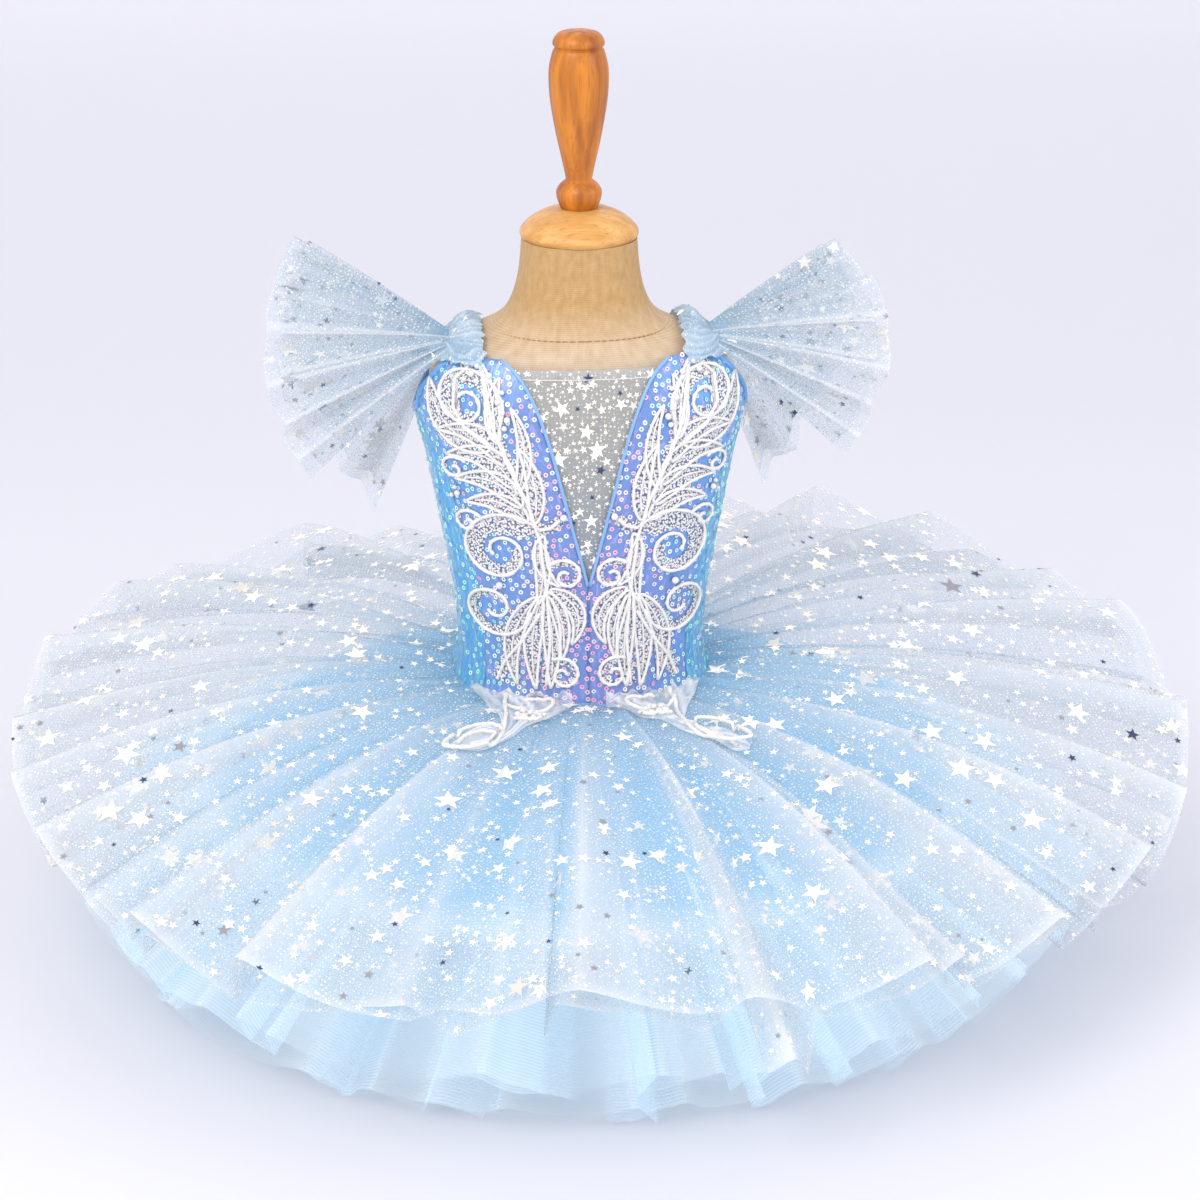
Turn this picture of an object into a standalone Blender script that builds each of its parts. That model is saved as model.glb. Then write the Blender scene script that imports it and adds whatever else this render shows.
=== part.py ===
"""A child's ballet dress standing on a limbless dress form.

Units are metres, +Z is up, the front faces -Y and the origin is the middle of the form's flat base.
Sizes are written in millimetres and turned to metres by MM. "Left" is the side of -X, as seen by
someone who stands in front of the dress.
"""

import math
from collections import namedtuple

import bpy
from mathutils import Vector

MM = 0.001
SEAM = 0.3  # gap between two pieces that meet at a seam
LAP = 0.6  # gap between a piece and the one that it lies on
CLOTH = 1.5  # wall of the bodice's cloth
TULLE = 1.3  # wall of a tulle layer
LACE = 1.2  # wall of the lace
ROUND = 2.3  # roundness of the body's sections: 2 is an ellipse, more is squarer

# The form and the bodice are given by level sections: height, half of the width, and depth in front
# of and behind the middle line.
Section = namedtuple("Section", "z half front back")

FORM = [
    Section(0, 88, 73, 74),
    Section(10, 91, 75, 76),
    Section(60, 98, 80, 84),
    Section(125, 99, 82, 84),
    Section(172, 93, 78, 77),
    Section(205, 85, 72, 69),
    Section(250, 86, 73, 68),
    Section(305, 94, 77, 72),
    Section(360, 103, 78, 75),
    Section(400, 109, 73, 75),
    Section(425, 107, 66, 67),
    Section(440, 97, 59, 59),
    Section(449, 79, 52, 51),
    Section(456, 60, 47, 46),
    Section(466, 50, 43.5, 43),
    Section(487, 43, 41, 40.5),
    Section(515.7, 41, 40, 39.5),
]

BODICE = [
    Section(170, 101, 87, 87),
    Section(184, 98, 85, 84),
    Section(197, 93, 82, 80),
    Section(215, 90, 80, 77),
    Section(250, 92, 81, 76),
    Section(305, 101, 84, 79),
    Section(360, 111, 85, 82),
    Section(405, 120, 80, 83),
    Section(425, 113, 74, 77),
    Section(443, 99, 66, 68),
]

# The V of the neck: half of its width at each height. It closes at the centre front seam.
Neck = namedtuple("Neck", "z half")
NECKLINE = [
    Neck(284, 0),
    Neck(300, 4),
    Neck(320, 9),
    Neck(340, 14.5),
    Neck(360, 20),
    Neck(380, 26),
    Neck(405, 36),
    Neck(425, 45),
    Neck(437, 52),
    Neck(443, 58),
]
PIPING = 1.3  # radius of the cord rolled into the neck's edge

# How far round from the centre front the princess seam lies at each height, and above the
# underarm the armhole's edge.
Line = namedtuple("Line", "z degrees")
PRINCESS = [
    Line(170, 50),
    Line(250, 52),
    Line(305, 55),
    Line(360, 61),
    Line(405, 74),
    Line(425, 69),
    Line(443, 61),
]
SIDE_BACK = 118  # degrees round to the seam of side and back
UNDERARM = 405  # height at which the side seams end
UNDERARM_DIP = 12  # how far the armhole dips between them
# Heights at which the bodice's panels are shaped: up to the underarm, and above it in front.
BODICE_ROWS = [170, 184, 197, 215, 245, 284, 305, 330, 355, 380, UNDERARM]
FRONT_TOP_ROWS = [425, 443]

# The back's upper edge: degrees from the centre back, and height.
BackEdge = namedtuple("BackEdge", "degrees z")
BACK_TOP = [
    BackEdge(0, 398),
    BackEdge(12, 400),
    BackEdge(23, 412),
    BackEdge(31, 436),
    BackEdge(44, 437),
    BackEdge(56, 437),
]

INSET_BOTTOM, INSET_TOP = 279, 437
INSET_LAP = 3  # how far the inset goes behind the fronts
INSET_DEPTH = CLOTH + LAP  # how far behind the bodice's face it lies

# The lace on each front: height, and the distances of its edges from the middle line.
LaceRow = namedtuple("LaceRow", "z inner outer")
LACE_EDGES = [
    LaceRow(203, 5, 58),
    LaceRow(245, 5, 72),
    LaceRow(284, 7, 78),
    LaceRow(330, 17, 89),
    LaceRow(380, 32, 105),
    LaceRow(405, 42, 112),
    LaceRow(425, 52, 103),
    LaceRow(441, 64, 82),
]

# Where the lace runs on over the skirt: share of the skirt's length, and degrees of its edges.
Tail = namedtuple("Tail", "along inner outer")
LACE_TAIL = [
    Tail(0.03, 5, 32),
    Tail(0.08, 6, 34),
    Tail(0.13, 13, 37),
    Tail(0.20, 22, 39),
    Tail(0.27, 29, 40),
    Tail(0.31, 33, 39),
]
TAIL_CREST = 40  # height of the folds that the tail has to clear

STRAP_INNER, STRAP_OUTER = 68, 90  # distance of the strap's edges from the middle line
STRAP_BACK_TOP = 437
STRAP_CROWN = 5  # the gathered band stands up in its middle

# The rays of the sleeve's fan: share of the way along the strap from front to back, degrees above
# the level, how much the ray leans forwards, and its length on the left and on the right.
Ray = namedtuple("Ray", "along lift forward left right")
SLEEVE_RAYS = [
    Ray(0.04, -38, 0.30, 133, 121),
    Ray(0.18, -16, 0.32, 136, 126),
    Ray(0.34, 10, 0.22, 136, 130),
    Ray(0.50, 33, 0.02, 132, 112),
    Ray(0.64, 12, -0.24, 132, 124),
    Ray(0.77, -34, -0.38, 138, 130),
    Ray(0.92, -64, -0.46, 150, 136),
]
SLEEVE_PLEATS = 16
SLEEVE_PLEAT_DEPTH = 6.0

# Each skirt layer: height of its seam on the bodice, wall, how far it arches up, how its fall is
# spread along its length, and the height and radius of its hem at each angle from the front.
Hem = namedtuple("Hem", "degrees radius z")
TOP_HEM = [
    Hem(-180, 425, 152),
    Hem(-150, 430, 150),
    Hem(-120, 430, 165),
    Hem(-90, 420, 150),
    Hem(-60, 422, 142),
    Hem(-35, 432, 130),
    Hem(0, 427, 138),
    Hem(35, 432, 122),
    Hem(60, 443, 120),
    Hem(90, 455, 153),
    Hem(120, 440, 178),
    Hem(150, 436, 172),
]
MID_HEM = [
    Hem(-180, 372, 56),
    Hem(-90, 378, 54),
    Hem(0, 374, 50),
    Hem(90, 384, 52),
]
UNDER_HEM = [
    Hem(-180, 350, 14),
    Hem(-90, 354, 14),
    Hem(0, 352, 14),
    Hem(90, 358, 14),
]

# The folds of the top layer, from the centre back round by the left to the front and on by the
# right: width, height from valley to crest, how far the crest leans over, and how far it hangs.
Fold = namedtuple("Fold", "degrees depth lean drop")
TOP_FOLDS = [
    Fold(17, 34, -38, 0),
    Fold(13, 26, -32, 4),
    Fold(16, 38, -44, -4),
    Fold(12, 25, -28, 3),
    Fold(15, 36, -42, 0),
    Fold(17, 42, -50, -5),
    Fold(12, 28, -34, 4),
    Fold(14, 34, -40, 0),
    Fold(16, 40, -46, 3),
    Fold(13, 28, -32, -3),
    Fold(18, 36, -40, 2),
    Fold(21, 26, -20, 0),
    Fold(5, 30, 8, 52),
    Fold(15, 26, 24, 0),
    Fold(16, 32, 38, 3),
    Fold(18, 40, 46, -3),
    Fold(13, 28, 34, 4),
    Fold(15, 36, 42, 0),
    Fold(17, 42, 50, -4),
    Fold(13, 28, 34, 3),
    Fold(15, 36, 42, 0),
    Fold(16, 38, 46, -3),
    Fold(12, 25, 30, 4),
    Fold(11, 28, 30, 0),
    Fold(10, 26, 26, 2),
]


def uneven_folds(count, depth, lean):
    """Folds that differ from each other in width and depth the way gathered tulle does."""
    widths = [1 + 0.25 * math.sin(2.4 * i) + 0.15 * math.sin(5.1 * i + 1) for i in range(count)]
    share = 360 / sum(widths)
    return [
        Fold(width * share, depth * (1 + 0.3 * math.sin(3.3 * i + 0.5)), lean * math.sin(1.7 * i), 0)
        for i, width in enumerate(widths)
    ]


Skirt = namedtuple("Skirt", "seam_z arch fall hem folds steps rows")
SKIRTS = {
    "skirt_top": Skirt(193, 12, 1.5, TOP_HEM, TOP_FOLDS, (0, 0.22, 0.45, 0.62, 0.8), (1, 0.66, 0.36, 0.13, 0)),
    "skirt_mid": Skirt(185, 6, 1.15, MID_HEM, uneven_folds(22, 20, 12), (0, 0.28, 0.52, 0.76), (1, 0.5, 0.15, 0)),
    "skirt_under": Skirt(177, 4, 1.05, UNDER_HEM, uneven_folds(22, 17, 9), (0, 0.28, 0.52, 0.76), (1, 0.5, 0.15, 0)),
}
GATHER = 1.5  # depth of the folds where they are sewn on
ROOT_CLEARANCE = 0.8  # room for the slant of the wall's end

# The wooden top of the form, as the outline from its rim to its axis: radius and height.
Turned = namedtuple("Turned", "radius z")
CAP_OUTLINE = [
    Turned(14, 536),
    Turned(24, 534),
    Turned(33, 529.5),
    Turned(39, 524.5),
    Turned(41.5, 521),
    Turned(42, 518.5),
    Turned(41, 516),
]
HANDLE_OUTLINE = [
    Turned(8, 660),
    Turned(14, 658.3),
    Turned(17.5, 654),
    Turned(18, 650.5),
    Turned(16.3, 648.3),
    Turned(18, 646),
    Turned(20.5, 636),
    Turned(21, 626),
    Turned(19.8, 610),
    Turned(16, 588),
    Turned(12, 570),
    Turned(9.6, 558.5),
    Turned(9.8, 556),
    Turned(13.2, 553),
    Turned(15.8, 549),
    Turned(16, 545),
    Turned(14.8, 540.5),
    Turned(13, 536.3),
]

COLLECTION = "ballet_dress_on_form"


# ---------------------------------------------------------------- small helpers


def clear_scene():
    for obj in list(bpy.data.objects):
        bpy.data.objects.remove(obj, do_unlink=True)


def new_material(name, colour, roughness, metallic=0.0):
    made = bpy.data.materials.new(name)
    made.use_nodes = True
    shader = made.node_tree.nodes["Principled BSDF"]
    shader.inputs["Base Color"].default_value = (*colour, 1)
    shader.inputs["Roughness"].default_value = roughness
    shader.inputs["Metallic"].default_value = metallic
    return made


def mix(a, b, share):
    return a + (b - a) * share


def value_at(table, key, at, column, period=None):
    """The column's value at this key, on a smooth curve through the table's rows."""
    keys = [getattr(row, key) for row in table]
    values = [getattr(row, column) for row in table]
    if period:
        keys = [keys[-1] - period] + keys + [keys[0] + period, keys[1] + period]
        values = [values[-1]] + values + [values[0], values[1]]
    at = min(max(at, keys[0]), keys[-1])
    i = max(j for j in range(len(keys) - 1) if keys[j] <= at)

    def slope(j):
        before, after = max(j - 1, 0), min(j + 1, len(keys) - 1)
        return (values[after] - values[before]) / (keys[after] - keys[before])

    width = keys[i + 1] - keys[i]
    t = (at - keys[i]) / width
    straight = mix(values[i], values[i + 1], t)
    bend = t * (1 - t) * width
    rise = (values[i + 1] - values[i]) / width
    return straight + bend * ((slope(i) - rise) * (1 - t) - (slope(i + 1) - rise) * t)


def signed_power(value, power):
    return math.copysign(abs(value) ** power, value)


def body_point(table, z, degrees, out=0.0):
    """A point of a level section, this many degrees round from the centre front."""
    turn = math.radians(degrees)
    half = value_at(table, "z", z, "half") + out
    side = "front" if math.cos(turn) > 0 else "back"
    depth = value_at(table, "z", z, side) + out
    x = half * signed_power(math.sin(turn), 2 / ROUND)
    y = -depth * signed_power(math.cos(turn), 2 / ROUND)
    return Vector((x, y, z))


def degrees_at(table, z, x):
    """How far round from the centre front a section is this far from the middle line."""
    share = min(abs(x) / value_at(table, "z", z, "half"), 1)
    return math.degrees(math.asin(share ** (ROUND / 2))) * (1 if x >= 0 else -1)


def body_radius(table, z, degrees, out=0.0):
    """Distance from the axis to the section, in the direction this many degrees from the front."""
    turn = math.radians(degrees)
    half = value_at(table, "z", z, "half") + out
    side = "front" if math.cos(turn) > 0 else "back"
    depth = value_at(table, "z", z, side) + out
    return (abs(math.sin(turn) / half) ** ROUND + abs(math.cos(turn) / depth) ** ROUND) ** (-1 / ROUND)


def finish(obj, material):
    obj.data.materials.append(material)
    obj.data.shade_smooth()
    obj.data.set_sharp_from_angle(angle=math.radians(50))
    parts.objects.link(obj)
    obj.parent = stand
    return obj


def cloth(name, rows, wall, material, ring=False):
    """A wall of cloth: the surface through these rows of points, thickened away from its face.

    The face looks along (next column) x (next row)."""
    columns = len(rows[0])
    points = [point * MM for row in rows for point in row]
    faces = []
    for r in range(len(rows) - 1):
        for c in range(columns if ring else columns - 1):
            after = (c + 1) % columns
            faces.append((r * columns + c, r * columns + after, (r + 1) * columns + after, (r + 1) * columns + c))
    mesh = bpy.data.meshes.new(name)
    mesh.from_pydata(points, [], faces)
    obj = bpy.data.objects.new(name, mesh)
    solid = obj.modifiers.new("Wall", "SOLIDIFY")
    solid.thickness = wall * MM
    solid.offset = -1
    return finish(obj, material)


def turned(name, outline, steps, material):
    """A wooden piece from the lathe: its outline from top to bottom, spun round the axis."""
    points = [Vector((0, 0, outline[0].z))] + [Vector((row.radius, 0, row.z)) for row in outline]
    points.append(Vector((0, 0, outline[-1].z)))
    mesh = bpy.data.meshes.new(name)
    mesh.from_pydata([point * MM for point in points], [(i, i + 1) for i in range(len(points) - 1)], [])
    obj = bpy.data.objects.new(name, mesh)
    screw = obj.modifiers.new("Lathe", "SCREW")
    screw.steps = screw.render_steps = steps
    screw.use_merge_vertices = True
    screw.merge_threshold = 0.0001
    return finish(obj, material)


# ---------------------------------------------------------------- the form


def make_form(linen, wood):
    heights = [row.z for row in FORM]
    heights = sorted(heights + [35, 95, 150, 228, 278, 333, 381, 413, 433, 445])
    sides = 32
    points = [body_point(FORM, z, 360 * i / sides) * MM for z in heights for i in range(sides)]
    faces = [
        (r * sides + i, r * sides + (i + 1) % sides, (r + 1) * sides + (i + 1) % sides, (r + 1) * sides + i)
        for r in range(len(heights) - 1)
        for i in range(sides)
    ]
    faces.append(tuple(reversed(range(sides))))
    faces.append(tuple(range((len(heights) - 1) * sides, len(heights) * sides)))
    mesh = bpy.data.meshes.new("form_body")
    mesh.from_pydata(points, [], faces)
    finish(bpy.data.objects.new("form_body", mesh), linen)
    turned("form_cap", CAP_OUTLINE, 32, wood)
    turned("form_handle", HANDLE_OUTLINE, 20, wood)


def form_top(x, y):
    """Height of the form's shoulder at this place, found by halving."""
    low, high = 400.0, 515.0
    for _ in range(40):
        z = (low + high) / 2
        half = value_at(FORM, "z", z, "half")
        depth = value_at(FORM, "z", z, "front" if y < 0 else "back")
        inside = abs(x / half) ** ROUND + abs(y / depth) ** ROUND < 1
        low, high = (z, high) if inside else (low, z)
    return low


# ---------------------------------------------------------------- the bodice


def panel(name, spots, out, wall, material):
    """A wall of cloth round the body, its face this far out from the bodice's own.

    spots are rows of (height, degrees round from the centre front), upwards and to the right."""
    rows, columns = len(spots), len(spots[0])
    points = [
        body_point(BODICE, z, degrees, depth) * MM
        for depth in (out, out - wall)
        for row in spots
        for z, degrees in row
    ]
    inner = rows * columns
    faces = []
    for r in range(rows - 1):
        for c in range(columns - 1):
            a = r * columns + c
            b, d = a + 1, a + columns
            e = d + 1
            short = (points[a] - points[e]).length < (points[b] - points[d]).length
            for corners in ((a, b, e), (a, e, d)) if short else ((a, b, d), (b, e, d)):
                faces.append(corners)
                faces.append(tuple(inner + i for i in reversed(corners)))
    bottom = list(range(columns))
    right = [r * columns + columns - 1 for r in range(1, rows)]
    top = [(rows - 1) * columns + c for c in range(columns - 2, -1, -1)]
    left = [r * columns for r in range(rows - 2, 0, -1)]
    edge = bottom + right + top + left
    for a, b in zip(edge, edge[1:] + edge[:1]):
        faces.append((b, a, inner + a, inner + b))
    mesh = bpy.data.meshes.new(name)
    mesh.from_pydata(points, [], faces)
    return finish(bpy.data.objects.new(name, mesh), material)


def mirrored(spots, side):
    """The same rows on the left side, still running to the right."""
    return spots if side > 0 else [[(z, -degrees) for z, degrees in reversed(row)] for row in spots]


def across(z, start, end, columns):
    return [(z, mix(start, end, c / (columns - 1))) for c in range(columns)]


def seam_degrees(z):
    """The line of the princess seam, and half of a seam's gap, as angles."""
    line = value_at(PRINCESS, "z", z, "degrees")
    gap = math.degrees(SEAM / 2 / value_at(BODICE, "z", z, "front"))
    return line, gap


def neck_half(z):
    return value_at(NECKLINE, "z", z, "half") if z > NECKLINE[0].z else 0.0


def make_front(side, name, material):
    """One front: from the centre seam and the V of the neck to the princess seam and the armhole."""
    spots = []
    for z in BODICE_ROWS + FRONT_TOP_ROWS:
        edge = neck_half(z)
        inner = edge + PIPING + SEAM if edge > 0 else SEAM / 2
        line, gap = seam_degrees(z)
        spots.append(across(z, degrees_at(BODICE, z, inner), line - gap, 7))
    panel(name, mirrored(spots, side), 0, CLOTH, material)


def make_side(side, name, material):
    """One side, from the princess seam to the seam of the back, dipping under the arm."""
    spots = []
    for z in BODICE_ROWS:
        line, gap = seam_degrees(z)
        spots.append(across(z, line + gap, SIDE_BACK - gap, 5))
    dips = [math.sin(math.pi * c / 4) * UNDERARM_DIP for c in range(5)]
    spots[-1] = [(z - dip, degrees) for dip, (z, degrees) in zip(dips, spots[-1])]
    panel(name, mirrored(spots, side), 0, CLOTH, material)


def back_edge(z):
    """The back's columns at this height, from side seam to side seam, with where each one ends."""
    _, gap = seam_degrees(z)
    left = [(edge.degrees, edge.z) for edge in BACK_TOP]
    left.append((180 - SIDE_BACK - gap, UNDERARM))
    right = [(-degrees, top) for degrees, top in left[:0:-1]]
    return [(top, 180 + degrees) for degrees, top in right + left]


def make_back(name, material):
    """The back, in one piece between the two side seams, with a scooped upper edge."""
    shoulder = BODICE_ROWS[-2]
    spots = [[(z, degrees) for _, degrees in back_edge(z)] for z in BODICE_ROWS[:-1]]
    for share in (0.5, 1):
        spots.append([(mix(shoulder, top, share), degrees) for top, degrees in back_edge(UNDERARM)])
    panel(name, spots, 0, CLOTH, material)


def make_inset(material):
    """The sheer panel that fills the V, sewn behind the edges of the fronts."""
    spots = []
    for z in [INSET_BOTTOM] + [z for z in BODICE_ROWS if z >= NECKLINE[0].z] + [425, INSET_TOP]:
        half = degrees_at(BODICE, z, neck_half(z) + INSET_LAP)
        spots.append(across(z, -half, half, 5))
    panel("inset", spots, -INSET_DEPTH, LACE, material)


def make_piping(side, name, material):
    """The cord rolled into the edge of the neck, as a bevelled curve."""
    curve = bpy.data.curves.new(name, "CURVE")
    curve.dimensions = "3D"
    curve.bevel_depth = PIPING * MM
    curve.bevel_resolution = 1
    curve.use_fill_caps = True
    heights = [row.z for row in NECKLINE[1:]]
    spline = curve.splines.new("POLY")
    spline.points.add(len(heights) - 1)
    for point, z in zip(spline.points, heights):
        place = body_point(BODICE, z, side * degrees_at(BODICE, z, neck_half(z)), 0.4) * MM
        point.co = (*place, 1)
    obj = bpy.data.objects.new(name, curve)
    curve.materials.append(material)
    parts.objects.link(obj)
    obj.parent = stand


def make_lace(side, name, material):
    """The lace sewn on one front, made from the front's points moved out."""
    heights = [z for z in BODICE_ROWS + FRONT_TOP_ROWS if LACE_EDGES[0].z < z < LACE_EDGES[-1].z]
    spots = []
    for z in [LACE_EDGES[0].z] + heights + [LACE_EDGES[-1].z]:
        inner, outer = (degrees_at(BODICE, z, value_at(LACE_EDGES, "z", z, edge)) for edge in ("inner", "outer"))
        spots.append(across(z, inner, outer, 7))
    panel(name, mirrored(spots, side), LAP + LACE, LACE, material)


# ---------------------------------------------------------------- straps and sleeves


def strap_point(side, across, along):
    """A point of the strap's underside: across from the neck to the arm, along from front to back.

    It springs from the top edges of front and back and rests on the form's shoulder half way."""
    x = mix(STRAP_INNER, STRAP_OUTER, across)
    front_z, back_z = FRONT_TOP_ROWS[-1] + SEAM, STRAP_BACK_TOP + SEAM
    front_y = body_point(BODICE, front_z, degrees_at(BODICE, front_z, x)).y
    back_y = body_point(BODICE, back_z, 180 - degrees_at(BODICE, back_z, x)).y
    top = form_top(x, mix(front_y, back_y, 0.5)) + SEAM
    arch = (top - mix(front_z, back_z, 0.5)) * (1 - abs(2 * along - 1) ** 3)
    crown = STRAP_CROWN * math.sin(math.pi * across) * math.sin(math.pi * along)
    return Vector((side * x, mix(front_y, back_y, along), mix(front_z, back_z, along) + arch + crown))


def make_strap(side, name, material):
    columns, steps = 5, 8
    rows = []
    for r in range(steps + 1):
        row = [strap_point(side, c / (columns - 1), r / steps) for c in range(columns)]
        rows.append([point + Vector((0, 0, 2.0)) for point in row])
    cloth(name, rows if side > 0 else [row[::-1] for row in rows], 2.0, material)


def sleeve_point(side, share, out, wave):
    """A point of the sleeve: share of the way from front to back, out from the strap to the edge.

    wave goes from -1 to 1 between the valley and the crest of a pleat."""
    first, last = SLEEVE_RAYS[0].along, SLEEVE_RAYS[-1].along
    along = mix(first, last, share)
    lift = math.radians(value_at(SLEEVE_RAYS, "along", along, "lift"))
    forward = value_at(SLEEVE_RAYS, "along", along, "forward")
    length = value_at(SLEEVE_RAYS, "along", along, "left" if side < 0 else "right")
    level = math.sqrt(1 - forward**2)
    ray = Vector((side * level * math.cos(lift), -forward, level * math.sin(lift)))
    root = strap_point(side, 1, along) + Vector((side * (SEAM + 0.5), 0, 1.0))
    across = Vector((0, 1, 0)).cross(ray) * side if abs(forward) < 0.2 else Vector((0, -math.copysign(1, forward), 0))
    depth = mix(0.6, SLEEVE_PLEAT_DEPTH, out**0.8)
    away = across - ray * across.dot(ray)
    return root + ray * length * out + away.normalized() * depth * wave


def make_sleeve(side, name, material):
    """The flutter sleeve: pleated tulle that fans out from the strap, over it from front to back."""
    steps = 4
    count = SLEEVE_PLEATS * steps
    rows = []
    for out in (1, 0.5, 0):
        row = []
        for i in range(count + 1):
            wave = (-0.9, 0.2, 1.0, 0.1)[i % steps]
            row.append(sleeve_point(side, i / count, out, wave))
        rows.append(row)
    cloth(name, rows if side < 0 else [row[::-1] for row in rows], TULLE, material)


# ---------------------------------------------------------------- the skirt


def fold_height(t):
    """Height of a fold at this share of its width: 0 in the valleys and 1 on the crest."""
    return (0.5 - 0.5 * math.cos(2 * math.pi * t)) ** 0.85


def skirt_point(skirt, degrees, along, height, fold):
    """A point of a skirt layer: the angle round it, the share of its length from the seam to the
    hem, the height within the fold from 0 to 1, and the fold that it belongs to."""
    start = body_radius(BODICE, skirt.seam_z, degrees, SEAM + ROOT_CLEARANCE)
    reach = value_at(skirt.hem, "degrees", degrees, "radius", 360)
    hem_z = value_at(skirt.hem, "degrees", degrees, "z", 360)
    slope = math.atan2(skirt.seam_z - hem_z, reach - start)
    lift = mix(GATHER, fold.depth, along**0.9) * (height - 0.5)
    radius = mix(start, reach, along) + lift * math.sin(slope) * along
    z = mix(skirt.seam_z, hem_z, along**skirt.fall) + skirt.arch * math.sin(math.pi * along)
    z += lift * math.cos(slope) - fold.drop * height * along**2
    turn = math.radians(degrees) + fold.lean * height * along / max(radius, 1)
    return Vector((radius * math.sin(turn), -radius * math.cos(turn), z))


def make_skirt(name, skirt, material):
    """One layer of the skirt, from its hem in to its seam round the bodice."""
    rows = []
    for along in skirt.rows:
        row = []
        start = -180.0
        for fold in skirt.folds:
            for t in skirt.steps:
                row.append(skirt_point(skirt, start + fold.degrees * t, along, fold_height(t), fold))
            start += fold.degrees
        rows.append(row)
    cloth(name, rows, TULLE, material, ring=True)


def make_lace_tail(side, name, material):
    """The end of the lace: from the foot of the lace on the front, over the crests of the skirt."""
    top = SKIRTS["skirt_top"]
    crest = Fold(0, TAIL_CREST, 0, 0)
    up = Vector((0, 0, LACE + LAP))
    columns = 5
    rows = []
    for row in LACE_TAIL[::-1]:
        spots = across(0, side * row.inner, side * row.outer, columns)
        rows.append([skirt_point(top, degrees, row.along, 1, crest) + up for _, degrees in spots])
    root = LACE_TAIL[0]
    foot = across(LACE_EDGES[0].z - SEAM, side * root.inner, side * root.outer, columns)
    rows.append([body_point(BODICE, z, degrees, SEAM + ROOT_CLEARANCE) for z, degrees in foot])
    cloth(name, rows if side > 0 else [row[::-1] for row in rows], LACE, material)


# ---------------------------------------------------------------- build


clear_scene()
parts = bpy.data.collections.new(COLLECTION)
bpy.context.scene.collection.children.link(parts)
stand = bpy.data.objects.new("stand_centre", None)
parts.objects.link(stand)

linen = new_material("linen", (0.80, 0.62, 0.45), 0.85)
wood = new_material("wood", (0.78, 0.42, 0.16), 0.4)
sequin = new_material("sequin_cloth", (0.42, 0.47, 0.85), 0.35)
star_tulle = new_material("star_tulle", (0.75, 0.86, 0.95), 0.7)
plain_tulle = new_material("plain_tulle", (0.52, 0.80, 0.95), 0.8)
lace_thread = new_material("lace", (0.90, 0.90, 0.93), 0.8)
sheer = new_material("sheer_inset", (0.62, 0.63, 0.62), 0.7)

make_form(linen, wood)
for side, label in ((-1, "left"), (1, "right")):
    make_front(side, f"bodice_front_{label}", sequin)
    make_side(side, f"bodice_side_{label}", sequin)
    make_piping(side, f"piping_{label}", plain_tulle)
    make_lace(side, f"lace_{label}", lace_thread)
    make_lace_tail(side, f"lace_tail_{label}", lace_thread)
    make_strap(side, f"strap_{label}", star_tulle)
    make_sleeve(side, f"sleeve_{label}", star_tulle)
make_back("bodice_back", sequin)
make_inset(sheer)
make_skirt("skirt_top", SKIRTS["skirt_top"], star_tulle)
make_skirt("skirt_mid", SKIRTS["skirt_mid"], plain_tulle)
make_skirt("skirt_under", SKIRTS["skirt_under"], plain_tulle)
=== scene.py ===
# %% [markdown]
# # A child's ballet dress on a dress form
#
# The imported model, called the frame here, already holds every piece of the dress and of its form at
# its real size and place. It is plain, so this lesson dresses it: each piece of cloth is made again
# as a thin sheet on the form that its solid gives, and then gets the cloth, the stars, the sequins
# and the lace of the real thing. Lengths on the dress are in millimetres, and MM turns them into
# metres. The camera, the backdrop and the lights are placed in metres.

# %% Load the frame
import math
from collections import namedtuple
from itertools import product

import bpy
import numpy as np
from mathutils import Matrix, Vector
from mathutils.bvhtree import BVHTree


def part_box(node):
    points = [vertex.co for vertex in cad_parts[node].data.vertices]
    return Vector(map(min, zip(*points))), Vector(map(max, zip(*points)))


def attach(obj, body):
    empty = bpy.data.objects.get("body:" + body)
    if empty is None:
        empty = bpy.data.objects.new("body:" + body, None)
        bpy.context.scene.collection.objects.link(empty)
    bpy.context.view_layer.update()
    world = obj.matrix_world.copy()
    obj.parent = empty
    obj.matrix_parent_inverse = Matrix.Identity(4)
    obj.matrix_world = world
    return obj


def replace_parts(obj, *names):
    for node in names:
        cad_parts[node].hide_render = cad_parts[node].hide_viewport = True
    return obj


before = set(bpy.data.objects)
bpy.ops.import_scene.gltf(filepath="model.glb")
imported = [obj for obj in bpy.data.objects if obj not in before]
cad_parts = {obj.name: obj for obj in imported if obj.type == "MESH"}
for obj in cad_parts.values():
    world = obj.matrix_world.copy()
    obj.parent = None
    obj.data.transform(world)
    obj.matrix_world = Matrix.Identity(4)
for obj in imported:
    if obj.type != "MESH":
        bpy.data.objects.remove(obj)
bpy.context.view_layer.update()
MM = 0.001

# %% [markdown]
# ## Camera, floor and light
#
# The camera comes first, because everything is judged through it. It stands two metres in front of
# the dress and looks down at it. A long lens keeps the skirt from looking wider than it is. The floor
# runs up into a wall in one curve, so that no line crosses the picture.

# %% Camera
CAMERA_AWAY, CAMERA_HEIGHT, CAMERA_ASIDE = 2.0, 1.02, 0.0147
CAMERA_TILT, CAMERA_ROUND = 21.3, -4.7  # degrees down, and degrees round the dress
LENS, SENSOR = 87.18, 36

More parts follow.
